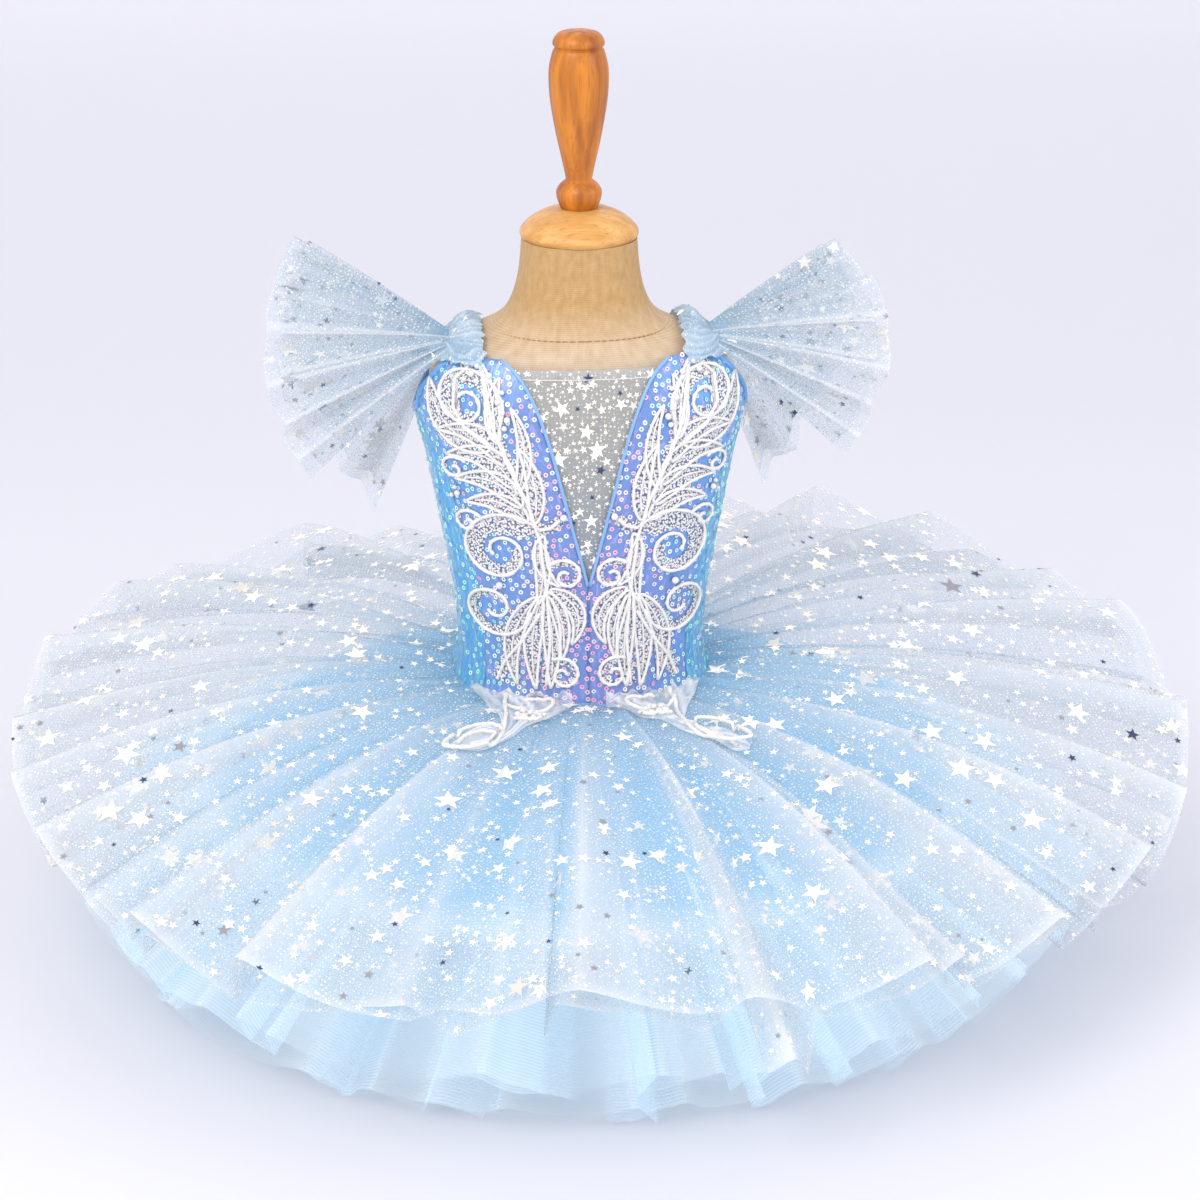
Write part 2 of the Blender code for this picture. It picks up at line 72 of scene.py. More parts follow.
camera_data = bpy.data.cameras.new("camera")
camera_data.lens, camera_data.sensor_width = LENS, SENSOR
camera = bpy.data.objects.new("camera", camera_data)
bpy.context.scene.collection.objects.link(camera)
camera.matrix_world = (
    Matrix.Rotation(math.radians(CAMERA_ROUND), 4, "Z")
    @ Matrix.Translation((CAMERA_ASIDE, -CAMERA_AWAY, CAMERA_HEIGHT))
    @ Matrix.Rotation(math.radians(90 - CAMERA_TILT), 4, "X")
)
bpy.context.scene.camera = camera
print("camera at", [round(c, 2) for c in camera.matrix_world.translation])

# %% [markdown]
# Small helpers serve every material. One turns a colour written as in a paint program into the linear
# numbers that a shader works with. Another adds a node with its settings and its links. The rest are
# for the nodes that come up again and again: they give the node's output, ready to be used further.


# %% Colour and node helpers
def srgb(text):
    """A colour written as #rrggbb, in linear numbers."""
    parts = [int(text[i : i + 2], 16) / 255 for i in (1, 3, 5)]
    linear = [c / 12.92 if c <= 0.04045 else ((c + 0.055) / 1.055) ** 2.4 for c in parts]
    return (*linear, 1.0)


def add_node(tree, kind, inputs=(), **settings):
    """A node of this kind. An input takes a number, a colour or another node's output."""
    made = tree.nodes.new(kind)
    for key, value in settings.items():
        setattr(made, key, value)
    for key, value in dict(inputs).items():
        if isinstance(value, bpy.types.NodeSocket):
            tree.links.new(value, made.inputs[key])
        else:
            made.inputs[key].default_value = value
    return made


def blend(tree, share, first, second):
    """The colour that lies this share of the way from the first to the second."""
    return add_node(tree, "ShaderNodeMix", {0: share, 6: first, 7: second}, data_type="RGBA").outputs[2]


def fit(tree, value, low, high, to_low=0.0, to_high=1.0):
    """A value that runs from low to high, made to run from to_low to to_high and held there."""
    spans = {"Value": value, "From Min": low, "From Max": high, "To Min": to_low, "To Max": to_high}
    return add_node(tree, "ShaderNodeMapRange", spans).outputs[0]


def calculate(tree, operation, *values, **settings):
    """What a Math node makes of these values."""
    inputs = dict(enumerate(values))
    return add_node(tree, "ShaderNodeMath", inputs, operation=operation, **settings).outputs[0]


def noise(tree, place, per_metre, detail):
    """Soft noise, with this many blots to the metre."""
    inputs = {"Vector": place, "Scale": per_metre, "Detail": detail}
    return add_node(tree, "ShaderNodeTexNoise", inputs).outputs["Fac"]


def stretched(tree, place, scale):
    """A place on another scale along X, Y and Z, where a small one draws what lies there out long."""
    return add_node(tree, "ShaderNodeMapping", {"Vector": place, "Scale": scale}).outputs["Vector"]


def bumps(tree, height, strength, distance):
    """A surface's direction where it is roughened by this height."""
    inputs = {"Height": height, "Strength": strength, "Distance": distance}
    return add_node(tree, "ShaderNodeBump", inputs).outputs["Normal"]


def place_in_space(tree):
    """Where a point of an object lies, in metres."""
    return add_node(tree, "ShaderNodeTexCoord").outputs["Object"]


def place_on_cloth(tree):
    """Where a point lies on its piece of cloth, in metres."""
    return add_node(tree, "ShaderNodeUVMap", uv_map="cloth").outputs["UV"]


def axis(tree, place, name):
    """One of the three numbers of a place."""
    return add_node(tree, "ShaderNodeSeparateXYZ", {0: place}).outputs[name]


def carried(tree, name):
    """A value that rides on the points of a mesh."""
    return add_node(tree, "ShaderNodeAttribute", attribute_name=name).outputs["Fac"]


def start_material(name, **sockets):
    """A Principled material with these values on the shader's own sockets."""
    material = bpy.data.materials.new(name)
    material.use_nodes = True
    tree = material.node_tree
    shader = tree.nodes["Principled BSDF"]
    for key, value in sockets.items():
        shader.inputs[key.replace("_", " ")].default_value = value
    return material, tree, shader


def plug(shader, **outputs):
    """Links these outputs to the shader's own sockets."""
    for key, output in outputs.items():
        shader.id_data.links.new(output, shader.inputs[key.replace("_", " ")])


print("white is", srgb("#ffffff")[:3])


# %% Backdrop
def make_backdrop():
    """A sheet of paper, in metres: flat under the dress, then a quarter circle, then a wall. Its far part
    lies beyond the lamps' reach, so it is washed with a little light of its own."""
    wide, front, bend, curve, tall = 12.0, -9.0, 3.4, 1.0, 4.0
    outline = [(front, 0.0), (bend, 0.0)]
    turns = np.linspace(0.1, math.pi / 2, 12)
    outline += [(bend + curve * math.sin(turn), curve * (1 - math.cos(turn))) for turn in turns]
    outline.append((bend + curve, tall))
    points = [(side * wide / 2, y, z) for y, z in outline for side in (-1, 1)]
    faces = [(2 * i, 2 * i + 1, 2 * i + 3, 2 * i + 2) for i in range(len(outline) - 1)]
    mesh = bpy.data.meshes.new("backdrop")
    mesh.from_pydata(points, [], faces)
    mesh.shade_smooth()
    # matt paper has no gloss, so the floor shows nothing but soft shade
    material, tree, shader = start_material(
        "matt_paper", Base_Color=srgb("#eeeff7"), Roughness=0.9, Emission_Color=srgb("#fdf8ff")
    )
    depth = axis(tree, place_in_space(tree), "Y")
    plug(shader, Emission_Strength=fit(tree, depth, 1.2, 4.2, 0.04, 0.18))
    mesh.materials.append(material)
    backdrop = bpy.data.objects.new("backdrop", mesh)
    bpy.context.scene.collection.objects.link(backdrop)
    return backdrop


print("stage:", make_backdrop().name)


# %% Light
def make_light(name, place, aim, size, watts, colour):
    """A round softbox that faces the place it is aimed at."""
    light = bpy.data.lights.new(name, "AREA")
    light.shape, light.size, light.energy, light.color = "DISK", size, watts, srgb(colour)[:3]
    lamp = bpy.data.objects.new(name, light)
    lamp.location = place
    lamp.rotation_euler = (Vector(aim) - Vector(place)).to_track_quat("-Z", "Y").to_euler()
    bpy.context.scene.collection.objects.link(lamp)


world = bpy.data.worlds.new("soft_white_room")
world.use_nodes = True
world.node_tree.nodes["Background"].inputs["Color"].default_value = srgb("#f7f6fb")
world.node_tree.nodes["Background"].inputs["Strength"].default_value = 0.85
bpy.context.scene.world = world
middle_of_dress = (0, 0, 0.25)
make_light("key_softbox", (-1.1, -1.7, 2.3), middle_of_dress, size=1.6, watts=32, colour="#fffaf4")
make_light("fill_softbox", (1.8, -1.2, 1.4), middle_of_dress, size=1.4, watts=9, colour="#f2f6ff")
bpy.context.scene.view_settings.view_transform = "Standard"
# Many layers of tulle lie behind each other, so light may pass through many films. In a white room few
# bounces are needed besides, which keeps the render short.
bpy.context.scene.cycles.transparent_max_bounces = 24
bpy.context.scene.cycles.max_bounces = 2
bpy.context.scene.cycles.diffuse_bounces = 1
bpy.context.scene.cycles.adaptive_threshold = 0.04
bpy.context.scene.cycles.use_light_tree = False
bpy.context.scene.world.cycles.sampling_method = "NONE"
print("lights: key and fill in a white room")

# %% [markdown]
# ## The shape of the body
#
# Form and bodice are both given by level sections, each a rounded oval: its height, half of its
# width, and its depth in front of and behind the middle. A smooth curve runs through each column, so
# a table of ten rows is enough for a whole bodice. "left" is the side of -X, as the viewer sees it.

# %% Sections of the form and the bodice
Section = namedtuple("Section", "z half front back")
Line = namedtuple("Line", "z degrees")
Neck = namedtuple("Neck", "z half")
ROUND = 2.3  # roundness of the sections: 2 is an ellipse
# the width of a seam, how far a piece that laps another stands out, and the thickness of the cloth
SEAM, LAP, WALL = 0.3, 0.6, 1.0

FORM = [
    Section(0, 88, 73, 74), Section(10, 91, 75, 76), Section(60, 98, 80, 84), Section(125, 99, 82, 84),
    Section(172, 93, 78, 77), Section(205, 85, 72, 69), Section(250, 86, 73, 68), Section(305, 94, 77, 72),
    Section(360, 103, 78, 75), Section(400, 109, 73, 75), Section(425, 107, 66, 67),
    Section(440, 97, 59, 59), Section(449, 79, 52, 51), Section(456, 60, 47, 46),
    Section(466, 50, 43.5, 43), Section(487, 43, 41, 40.5), Section(515.7, 41, 40, 39.5),
]  # fmt: skip
BODICE = [
    Section(170, 101, 87, 87), Section(184, 98, 85, 84), Section(197, 93, 82, 80),
    Section(215, 90, 80, 77), Section(250, 92, 81, 76), Section(305, 101, 84, 79),
    Section(360, 111, 85, 82), Section(405, 120, 80, 83), Section(425, 113, 74, 77),
    Section(443, 99, 66, 68),
]  # fmt: skip
NECKLINE = [
    Neck(284, 0), Neck(300, 4), Neck(320, 9), Neck(340, 14), Neck(360, 19),
    Neck(380, 24), Neck(405, 32), Neck(425, 41), Neck(437, 50), Neck(443, 58),
]  # fmt: skip
PRINCESS = [
    Line(170, 50), Line(250, 52), Line(305, 55), Line(360, 61), Line(405, 74), Line(425, 69), Line(443, 61),
]  # fmt: skip
# the back's upper edge: degrees from the centre back, and height
BACK_TOP = [(0, 398), (12, 400), (23, 412), (31, 436), (44, 437), (56, 437)]
SIDE_BACK, SEAM_DEGREES = 118, 0.15  # the seam at the back of the side, and half the width of a seam
UNDERARM, UNDERARM_DIP, WAIST, SHOULDER = 405, 12, 170, 443
SIDES = ((-1, "left"), (1, "right"))
print(len(FORM), "sections of the form and", len(BODICE), "of the bodice")


# %% Points on the body
def mix(a, b, share):
    """The value that lies this share of the way from a to b."""
    return a + (b - a) * share


def value_at(table, key, at, column, period=None):
    """The column's value at this key, on a smooth curve through the table's rows."""
    keys = [getattr(row, key) for row in table]
    values = [getattr(row, column) for row in table]
    if period:
        keys = [keys[-1] - period] + keys + [keys[0] + period, keys[1] + period]
        values = [values[-1]] + values + [values[0], values[1]]
    at = min(max(at, keys[0]), keys[-1])
    i = max(j for j in range(len(keys) - 1) if keys[j] <= at)

    def slope(j):
        before, after = max(j - 1, 0), min(j + 1, len(keys) - 1)
        return (values[after] - values[before]) / (keys[after] - keys[before])

    width = keys[i + 1] - keys[i]
    t = (at - keys[i]) / width
    rise = (values[i + 1] - values[i]) / width
    bend = (slope(i) - rise) * (1 - t) - (slope(i + 1) - rise) * t
    return mix(values[i], values[i + 1], t) + t * (1 - t) * width * bend


def section_at(table, z, degrees, out):
    """Half width and depth of a section here, moved out by this much."""
    half = value_at(table, "z", z, "half") + out
    side = "front" if math.cos(math.radians(degrees)) > 0 else "back"
    return half, value_at(table, "z", z, side) + out


def body_point(table, z, degrees, out=0.0):
    """A point of a level section, this many degrees round from the centre front."""
    half, depth = section_at(table, z, degrees, out)
    sine, cosine = math.sin(math.radians(degrees)), math.cos(math.radians(degrees))
    x = half * math.copysign(abs(sine) ** (2 / ROUND), sine)
    y = -depth * math.copysign(abs(cosine) ** (2 / ROUND), cosine)
    return Vector((x, y, z))


def degrees_at(table, z, x):
    """How far round from the centre front a section is this far from the middle line."""
    share = min(abs(x) / value_at(table, "z", z, "half"), 1)
    return math.degrees(math.asin(share ** (ROUND / 2))) * (1 if x >= 0 else -1)


def body_radius(table, z, degrees, out=0.0):
    """Distance from the axis to the section, in the direction this many degrees from the front."""
    half, depth = section_at(table, z, degrees, out)
    turn = math.radians(degrees)
    return (abs(math.sin(turn) / half) ** ROUND + abs(math.cos(turn) / depth) ** ROUND) ** (-1 / ROUND)


print("waist", round(value_at(BODICE, "z", 215, "half") * 2), "mm wide")

# %% [markdown]
# ## The wooden top
#
# The handle and the neck cap are turned from beech and varnished. On a lathe a shape is an outline
# that is spun, so here it is built the same way: a disc is extruded from one ring of the outline to
# the next, and resized at each. The outline keeps few rows, and a smooth curve fills in between.

# %% Outlines of cap and handle
# radius and height, from the bottom up
CAP_OUTLINE = [
    (41, 516), (42, 518.5), (41.5, 521), (39, 524.5), (33, 529.5), (24, 534), (14, 536),
]  # fmt: skip
HANDLE_OUTLINE = [
    (13, 536.3), (14.8, 540.5), (16, 545), (15.8, 549), (13.2, 553), (9.8, 556), (9.6, 558.5), (12, 570),
    (16, 588), (19.8, 610), (21, 626), (20.5, 636), (18, 646), (16.3, 648.3), (18, 650.5), (17.5, 654),
    (14, 658.3), (8, 660),
]  # fmt: skip


def curve_through(points, steps):
    """A smooth curve through these points, with this many steps from each to the next."""
    spots = np.array(points, float)
    spots = np.concatenate([2 * spots[:1] - spots[1:2], spots, 2 * spots[-1:] - spots[-2:-1]])
    found = []
    for a, b, c, d in zip(spots, spots[1:], spots[2:], spots[3:]):
        for t in np.arange(steps) / steps:
            bend = (2 * a - 5 * b + 4 * c - d) * t**2 + (3 * b - a - 3 * c + d) * t**3
            found.append(b + 0.5 * ((c - a) * t + bend))
    return np.array(found + [spots[-2]])


def select_only(piece):
    """Operators work on what is selected and active: here this piece alone."""
    bpy.ops.object.select_all(action="DESELECT")
    piece.select_set(True)
    bpy.context.view_layer.objects.active = piece


def dress(piece, material):
    """Gives a piece its material, and lets it move with the frame."""
    piece.data.materials.append(material)
    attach(piece, "root")
    return piece


def turn_on_lathe(name, outline, material, node):
    """A solid of revolution, drawn up ring by ring from its lowest edge."""
    sides, steps = 96, 4
    rings = curve_through(outline, steps)
    bpy.ops.object.select_all(action="DESELECT")
    radius, z = rings[0] * MM
    bpy.ops.mesh.primitive_circle_add(vertices=sides, radius=radius, location=(0, 0, z), fill_type="NGON")
    piece = bpy.context.active_object
    piece.name = name
    bpy.ops.object.mode_set(mode="EDIT")
    for (before, low), (after, high) in zip(rings, rings[1:]):
        move = {"value": (0, 0, (high - low) * MM)}
        bpy.ops.mesh.extrude_region_move(TRANSFORM_OT_translate=move)
        share = after / before
        bpy.ops.transform.resize(value=(share, share, 1), center_override=(0, 0, high * MM))
    bpy.ops.mesh.select_all(action="SELECT")
    bpy.ops.mesh.normals_make_consistent(inside=False)
    bpy.ops.object.mode_set(mode="OBJECT")
    bpy.ops.object.transform_apply(location=True, rotation=True, scale=True)
    bpy.ops.object.shade_smooth_by_angle(angle=math.radians(60))
    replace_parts(dress(piece, material), node)
    return piece


print("handle", round(HANDLE_OUTLINE[-1][1] - HANDLE_OUTLINE[0][1]), "mm long")

# %% [markdown]
# Beech shows short darker flecks along its grain. On the handle the grain runs up its length, and on
# the cap it lies level. Noise stretched along the grain gives the bands, and a finer noise the flecks.


# %% Varnished beech
def varnished_beech(name, light, dark, scale):
    """A satin varnish over flecked wood. scale: of the grain along X, Y and Z."""
    material, tree, shader = start_material(name, Roughness=0.45, Coat_Weight=0.2, Coat_Roughness=0.15)
    place = stretched(tree, place_in_space(tree), scale)
    band_size, fleck_size = 9 * MM, 1.4 * MM
    bands = noise(tree, place, 1 / band_size, 6.0)
    flecks = noise(tree, place, 1 / fleck_size, 3.0)
    wood = blend(tree, fit(tree, bands, 0.35, 0.65), srgb(light), srgb(dark))
    wood = blend(tree, fit(tree, flecks, 0.56, 0.72, 0, 0.45), wood, srgb("#9a5521"))
    plug(shader, Base_Color=wood, Normal=bumps(tree, flecks, 0.12, MM))
    return material


handle_wood = varnished_beech("varnished_beech_handle", "#e48c20", "#ab5a10", (1, 1, 0.07))
cap_wood = varnished_beech("varnished_beech_cap", "#f3be72", "#dc9a4c", (0.12, 1, 1))
handle = turn_on_lathe("turned_handle", HANDLE_OUTLINE, handle_wood, "form_handle")
cap = turn_on_lathe("turned_cap", CAP_OUTLINE, cap_wood, "form_cap")
print("handle", len(handle.data.polygons), "faces, cap", len(cap.data.polygons), "faces")

# %% [markdown]
# ## The linen body
#
# The form is covered in undyed linen. Its solid is right but faceted, so a copy of it is merged and
# subdivided, with its two flat ends kept sharp. The weave needs a map that runs round and up the
# body, so each corner gets the angle round the axis and the height, both turned into metres.


# %% Linen
def undyed_linen():
    """Plain weave. Its threads are drawn 1.3 mm apart, twice the real pitch, so that they show."""
    material, tree, shader = start_material("undyed_plain_weave_linen", Roughness=0.88, Sheen_Weight=0.15)
    place, thread_pitch, slubs_per_metre = place_on_cloth(tree), 1.3 * MM, 130.0
    waves = {"Vector": place, "Scale": 2 * math.pi / (20 * thread_pitch)}
    waves |= {"Distortion": 0.6, "Detail": 2.0, "Detail Scale": 0.5}
    weft = add_node(tree, "ShaderNodeTexWave", waves, bands_direction="Y").outputs["Fac"]
    warp = add_node(tree, "ShaderNodeTexWave", waves, bands_direction="X").outputs["Fac"]
    threads = calculate(tree, "ADD", weft, warp)
    tone = calculate(tree, "MULTIPLY_ADD", threads, 0.22, noise(tree, place, slubs_per_metre, 5.0))
    share = fit(tree, tone, 0.35, 1.1)
    # The neck is darker than the chest: partly it is another cut of the linen, partly painted shade on the
    # neck and painted light on the chest.
    neck = blend(tree, share, srgb("#bd9359"), srgb("#dcb580"))
    chest = blend(tree, share, srgb("#cdb291"), srgb("#eddcc6"))
    above = fit(tree, axis(tree, place, "Y"), 435 * MM, 475 * MM)
    linen = blend(tree, above, chest, neck)
    plug(shader, Base_Color=linen, Normal=bumps(tree, threads, 0.25, 0.3 * MM))
    return material


linen_cloth = undyed_linen()
print("cloth:", linen_cloth.name)


# %% Body of the form
def wrap_round(mesh, radius):
    """A map in metres: round the axis from the centre back, and up."""
    layer = mesh.uv_layers.new(name="cloth")
    for face in mesh.polygons:
        angles = []
        for loop in face.loop_indices:
            place = mesh.vertices[mesh.loops[loop].vertex_index].co
            angles.append(math.atan2(place.x, -place.y))
        over = max(angles) - min(angles) > math.pi
        for loop, angle in zip(face.loop_indices, angles):
            angle += 2 * math.pi if over and angle < 0 else 0
            layer.data[loop].uv = (angle * radius, mesh.vertices[mesh.loops[loop].vertex_index].co.z)


def make_form_body():
    """The form's own solid, rounded, with its upper and lower edges kept sharp."""
    mean_radius, merged_within = 75, 0.02
    body = bpy.data.objects.new("linen_body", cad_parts["form_body"].data.copy())
    bpy.context.scene.collection.objects.link(body)
    body.data.materials.clear()
    select_only(body)
    bpy.ops.object.mode_set(mode="EDIT")
    bpy.ops.mesh.select_all(action="SELECT")
    bpy.ops.mesh.customdata_custom_splitnormals_clear()
    bpy.ops.mesh.remove_doubles(threshold=merged_within * MM)
    bpy.ops.mesh.tris_convert_to_quads()
    bpy.ops.object.mode_set(mode="OBJECT")
    low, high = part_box("form_body")
    crease = body.data.attributes.new("crease_edge", "FLOAT", "EDGE")
    for edge, sharp in zip(body.data.edges, crease.data):
        ends = [body.data.vertices[v].co.z for v in edge.vertices]
        level = abs(ends[0] - ends[1]) < 0.1 * MM
        sharp.value = 1.0 if level and (ends[0] < low.z + MM or ends[0] > high.z - MM) else 0.0
    rounder = body.modifiers.new("Rounder", "SUBSURF")
    rounder.levels = rounder.render_levels = 2
    bpy.ops.object.modifier_apply(modifier=rounder.name)
    wrap_round(body.data, mean_radius * MM)
    bpy.ops.object.shade_smooth_by_angle(angle=math.radians(60))
    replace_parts(dress(body, linen_cloth), "form_body")
    return body


linen_body = make_form_body()
print("linen body", len(linen_body.data.polygons), "faces")

# %% [markdown]
# Where the neck meets the shoulders the linen cover is sewn. The seam dips at the front, and its
# thread lies in small stitches. Cords like this one are used all over the dress, so one function
# makes them: it carries a ring of points along a line without twisting it, and closes both ends.


# %% Cords
def spacing(points, axis=0):
    """The distance from each point of a line or a grid to the next one along this axis."""
    return np.linalg.norm(np.diff(points, axis=axis), axis=-1)


def edge_length(line):
    """How far along a line of points each of them lies."""
    return np.concatenate([[0], np.cumsum(spacing(line))])


def frames_along(path):
    """At each point of the path: two directions square to it that don't twist round it."""
    ahead = np.gradient(path, axis=0)
    ahead /= np.linalg.norm(ahead, axis=1, keepdims=True) + 1e-12
    start = np.cross(ahead[0], (0.3, 0.5, 0.8))
    first = [start / np.linalg.norm(start)]
    for direction in ahead[1:]:
        side = first[-1] - direction * (first[-1] @ direction)
        first.append(side / (np.linalg.norm(side) + 1e-12))
    first = np.array(first)
    return first, np.cross(ahead, first)


def add_piece(name, mesh, material):
    """A dressed object for this mesh."""
    piece = bpy.data.objects.new(name, mesh)
    bpy.context.scene.collection.objects.link(piece)
    return dress(piece, material)


def make_cords(name, paths, material, sides=6):
    """One mesh of many cords. Each path is (points, radii), in millimetres."""
    points, faces, marks = [], [], []
    for path, radii in paths:
        path = np.array(path, float)
        radii = np.broadcast_to(radii, len(path))
        first, second = frames_along(path)
        length = edge_length(path)
        base = len(points)
        for r, (place, radius) in enumerate(zip(path, radii)):
            for k in range(sides):
                turn = 2 * math.pi * k / sides
                points.append(place + radius * (math.cos(turn) * first[r] + math.sin(turn) * second[r]))
                marks.append((k / sides, length[r] * MM))
        for r in range(len(path) - 1):
            for k in range(sides):
                after = (k + 1) % sides
                a, b = base + r * sides, base + (r + 1) * sides
                faces.append((a + k, a + after, b + after, b + k))
        faces.append(tuple(base + k for k in reversed(range(sides))))
        faces.append(tuple(base + (len(path) - 1) * sides + k for k in range(sides)))
    mesh = bpy.data.meshes.new(name)
    mesh.from_pydata([tuple(point * MM) for point in points], [], faces)
    layer = mesh.uv_layers.new(name="cloth")
    corners = np.array(marks)[np.array([loop.vertex_index for loop in mesh.loops])]
    layer.data.foreach_set("uv", corners.astype(np.float32).ravel())
    mesh.shade_smooth()
    return add_piece(name, mesh, material)


square = np.array([(0, 0, 0), (10, 0, 0), (10, 10, 0), (0, 10, 0)])
print("the corners of a square of 10 mm lie at", edge_length(square), "mm")


# %% Neck seam of the form
def neck_seam_point(degrees):
    """A place on the seam, this many degrees round from the centre front."""
    seam_height, dip, out = 455.5, 3.0, 0.25
    z = seam_height - dip * math.cos(math.radians(degrees))
    return body_point(FORM, z, degrees, out)


def make_neck_seam():
    """Stitches of linen thread, end to end with a small step between them."""
    stitch_degrees, gap_degrees, radius = 3.0, 0.8, 0.45
    # the thread is matt and darker than the cover, so the seam reads as a fine broken line
    thread, _, _ = start_material("linen_thread", Base_Color=srgb("#b78f5f"), Roughness=0.8)
    stitches = []
    for start in np.arange(0, 360, stitch_degrees + gap_degrees):
        spots = [neck_seam_point(start + share * stitch_degrees) for share in (0, 0.2, 0.5, 0.8, 1)]
        stitches.append((spots, [radius * 0.4, radius, radius, radius, radius * 0.4]))
    return make_cords("neck_seam", stitches, thread, sides=5)


print("neck seam", len(make_neck_seam().data.polygons), "faces")

# %% [markdown]
# ## Sheets of cloth
#
# Every piece of cloth is a grid of points on a surface that a formula gives. One function turns such
# a grid into a mesh with a map in metres of cloth, so that threads, dots and crinkles keep their real
# size however the piece lies. Values such as the nearness of a crease ride along on its points.


# %% Sheets
def grid_corners(table):
    """For each face of a grid, what its four corners hold."""
    return table[:-1, :-1], table[:-1, 1:], table[1:, 1:], table[1:, :-1]


def make_sheet(name, grid, cloth_map, material, ring=False, thick=0.0, marks=None, keep=None):
    """grid: rows x columns x 3 in millimetres; the face looks along (next column) x (next row). ring: the
    last column is the first one again. thick: how thick a wall it gets, if not a film. marks: values
    that ride on its points. keep: which of the faces are cut out of the cloth, if not all."""
    rows, columns = grid.shape[:2]
    used = columns - 1 if ring else columns
    index = np.arange(rows * used).reshape(rows, used)
    if ring:
        index = np.concatenate([index, index[:, :1]], axis=1)
    kept = slice(None) if keep is None else keep.ravel()
    faces = np.stack(grid_corners(index), 2).reshape(-1, 4)[kept]
    chosen, faces = np.unique(faces, return_inverse=True)
    mesh = bpy.data.meshes.new(name)
    points = grid[:, :used].reshape(-1, 3)[chosen] * MM
    mesh.from_pydata(points.tolist(), [], faces.reshape(-1, 4).tolist())
    layer = mesh.uv_layers.new(name="cloth")
    corners = np.stack(grid_corners(cloth_map), 2).reshape(-1, 8)[kept] * MM
    layer.data.foreach_set("uv", corners.astype(np.float32).ravel())
    for key, values in (marks or {}).items():
        layer = mesh.attributes.new(key, "FLOAT", "POINT")
        layer.data.foreach_set("value", np.ascontiguousarray(values[:, :used].ravel()[chosen], np.float32))
    mesh.shade_smooth()
    sheet = add_piece(name, mesh, material)
    if thick:
        select_only(sheet)
        wall = sheet.modifiers.new("Wall", "SOLIDIFY")
        wall.thickness, wall.offset = thick * MM, -1
        bpy.ops.object.modifier_apply(modifier=wall.name)
    return sheet


def column_order(reverse):
    """How the columns of a grid are taken, so that its face looks out on either side."""
    return slice(None, None, -1) if reverse else slice(None)


def grid_lengths(grid):
    """The map of a grid: how far along its rows, and up its columns, each point lies."""
    u = np.pad(np.cumsum(spacing(grid, axis=1), axis=1), ((0, 0), (1, 0)))
    v = np.pad(np.cumsum(spacing(grid), axis=0), ((1, 0), (0, 0)))
    return np.stack([u - u[:, u.shape[1] // 2, None], v], 2)


def ripple(seed, at, count, low, high):
    """A sum of sines with uneven lengths between low and high. It seldom passes 1.5."""
    random = np.random.default_rng(seed)
    total = np.zeros_like(at)
    for _ in range(count):
        total += np.sin(2 * math.pi * at / random.uniform(low, high) + random.uniform(0, 2 * math.pi))
    return total / math.sqrt(count) / 1.4


trial = ripple(1, np.arange(1000.0), 5, 20, 60)
print("a ripple runs from", round(trial.min(), 2), "to", round(trial.max(), 2))

# %% [markdown]
# ## The bodice
#
# The bodice is cut as two fronts, two sides and a back, from stretch cloth that is set with small
# ring sequins. The fronts look violet and lie smooth. The sides and the back are shirred, so they
# are crinkled from top to bottom, and look sky blue. A shell with a real edge is right here, because
# the armholes and the neck show how thick the cloth is.


# %% Sequin cloth
def sequin_satin(name, middle, outer, glint, crinkle):
    """Satin with a soft gleam, whose threads carry painted glints: here and there one is painted in the
    glint colour. middle and outer: its colours by the centre front and towards the side. crinkle: 0 smooth,
    1 shirred."""
    material, tree, shader = start_material(
        name, Roughness=0.34, Metallic=0.25, Sheen_Weight=0.4, Sheen_Roughness=0.4
    )
    place, cloud_drift, clouds_per_metre = place_in_space(tree), 90 * MM, 28.0
    aside = calculate(tree, "ABSOLUTE", axis(tree, place, "X"))
    cloud = noise(tree, place, clouds_per_metre, 3.0)
    drift = calculate(tree, "MULTIPLY_ADD", cloud, cloud_drift, aside)
    colour = blend(tree, fit(tree, drift, 75 * MM, 140 * MM), middle, outer)
    place, thread_width, fold_width = place_on_cloth(tree), 1.7 * MM, 2.6 * MM
    threads = {"Vector": stretched(tree, place, (1, 0.3, 1)), "Scale": 1 / thread_width}
    threads = add_node(tree, "ShaderNodeTexVoronoi", threads).outputs["Color"]
    # painted glint: the brightest cells of the threads are painted in the glint colour
    painted_glint = add_node(tree, "ShaderNodeSeparateColor", {0: threads}).outputs["Red"]
    colour = blend(tree, fit(tree, painted_glint, 0.72, 1.0, 0, 0.75), colour, glint)
    folds = noise(tree, stretched(tree, place, (1, 0.16, 1)), 1 / fold_width, 2.0)
    plug(shader, Base_Color=colour, Normal=bumps(tree, folds, 0.25 + 0.65 * crinkle, 1.2 * MM))
    return material


violet, blue, aqua = srgb("#7e9adc"), srgb("#6fabee"), srgb("#8ce8e4")
front_satin = sequin_satin("violet_sequin_satin", violet, blue, srgb("#b9b4f2"), 0.1)
side_satin = sequin_satin("shirred_sky_blue_satin", blue, srgb("#62b4ee"), aqua, 1.0)
print("cloth:", front_satin.name, "and", side_satin.name)


# %% Rows of the bodice's panels
def body_grid(rows, out):
    """A grid on the bodice's surface, from rows of (height, degrees) and a depth for each point."""
    depths = np.broadcast_to(out, (len(rows), len(rows[0])))
    return np.array([
        [body_point(BODICE, z, degrees, depth) for (z, degrees), depth in zip(row, line)]
        for row, line in zip(rows, depths)
    ])  # fmt: skip


def crinkles(rows, depth, seed):
    """How far each point stands out where the cloth is shirred: ridges that run up the panel."""
    mean_radius = 95
    height, degrees = np.array(rows).transpose(2, 0, 1)
    arc = degrees * math.pi / 180 * mean_radius
    drift = 3 * ripple(seed, height, 3, 60, 160)
    fade = 0.7 + 0.3 * ripple(seed + 2, height, 3, 18, 60)
    return depth * ripple(seed + 1, arc + drift, 5, 5, 13) * fade


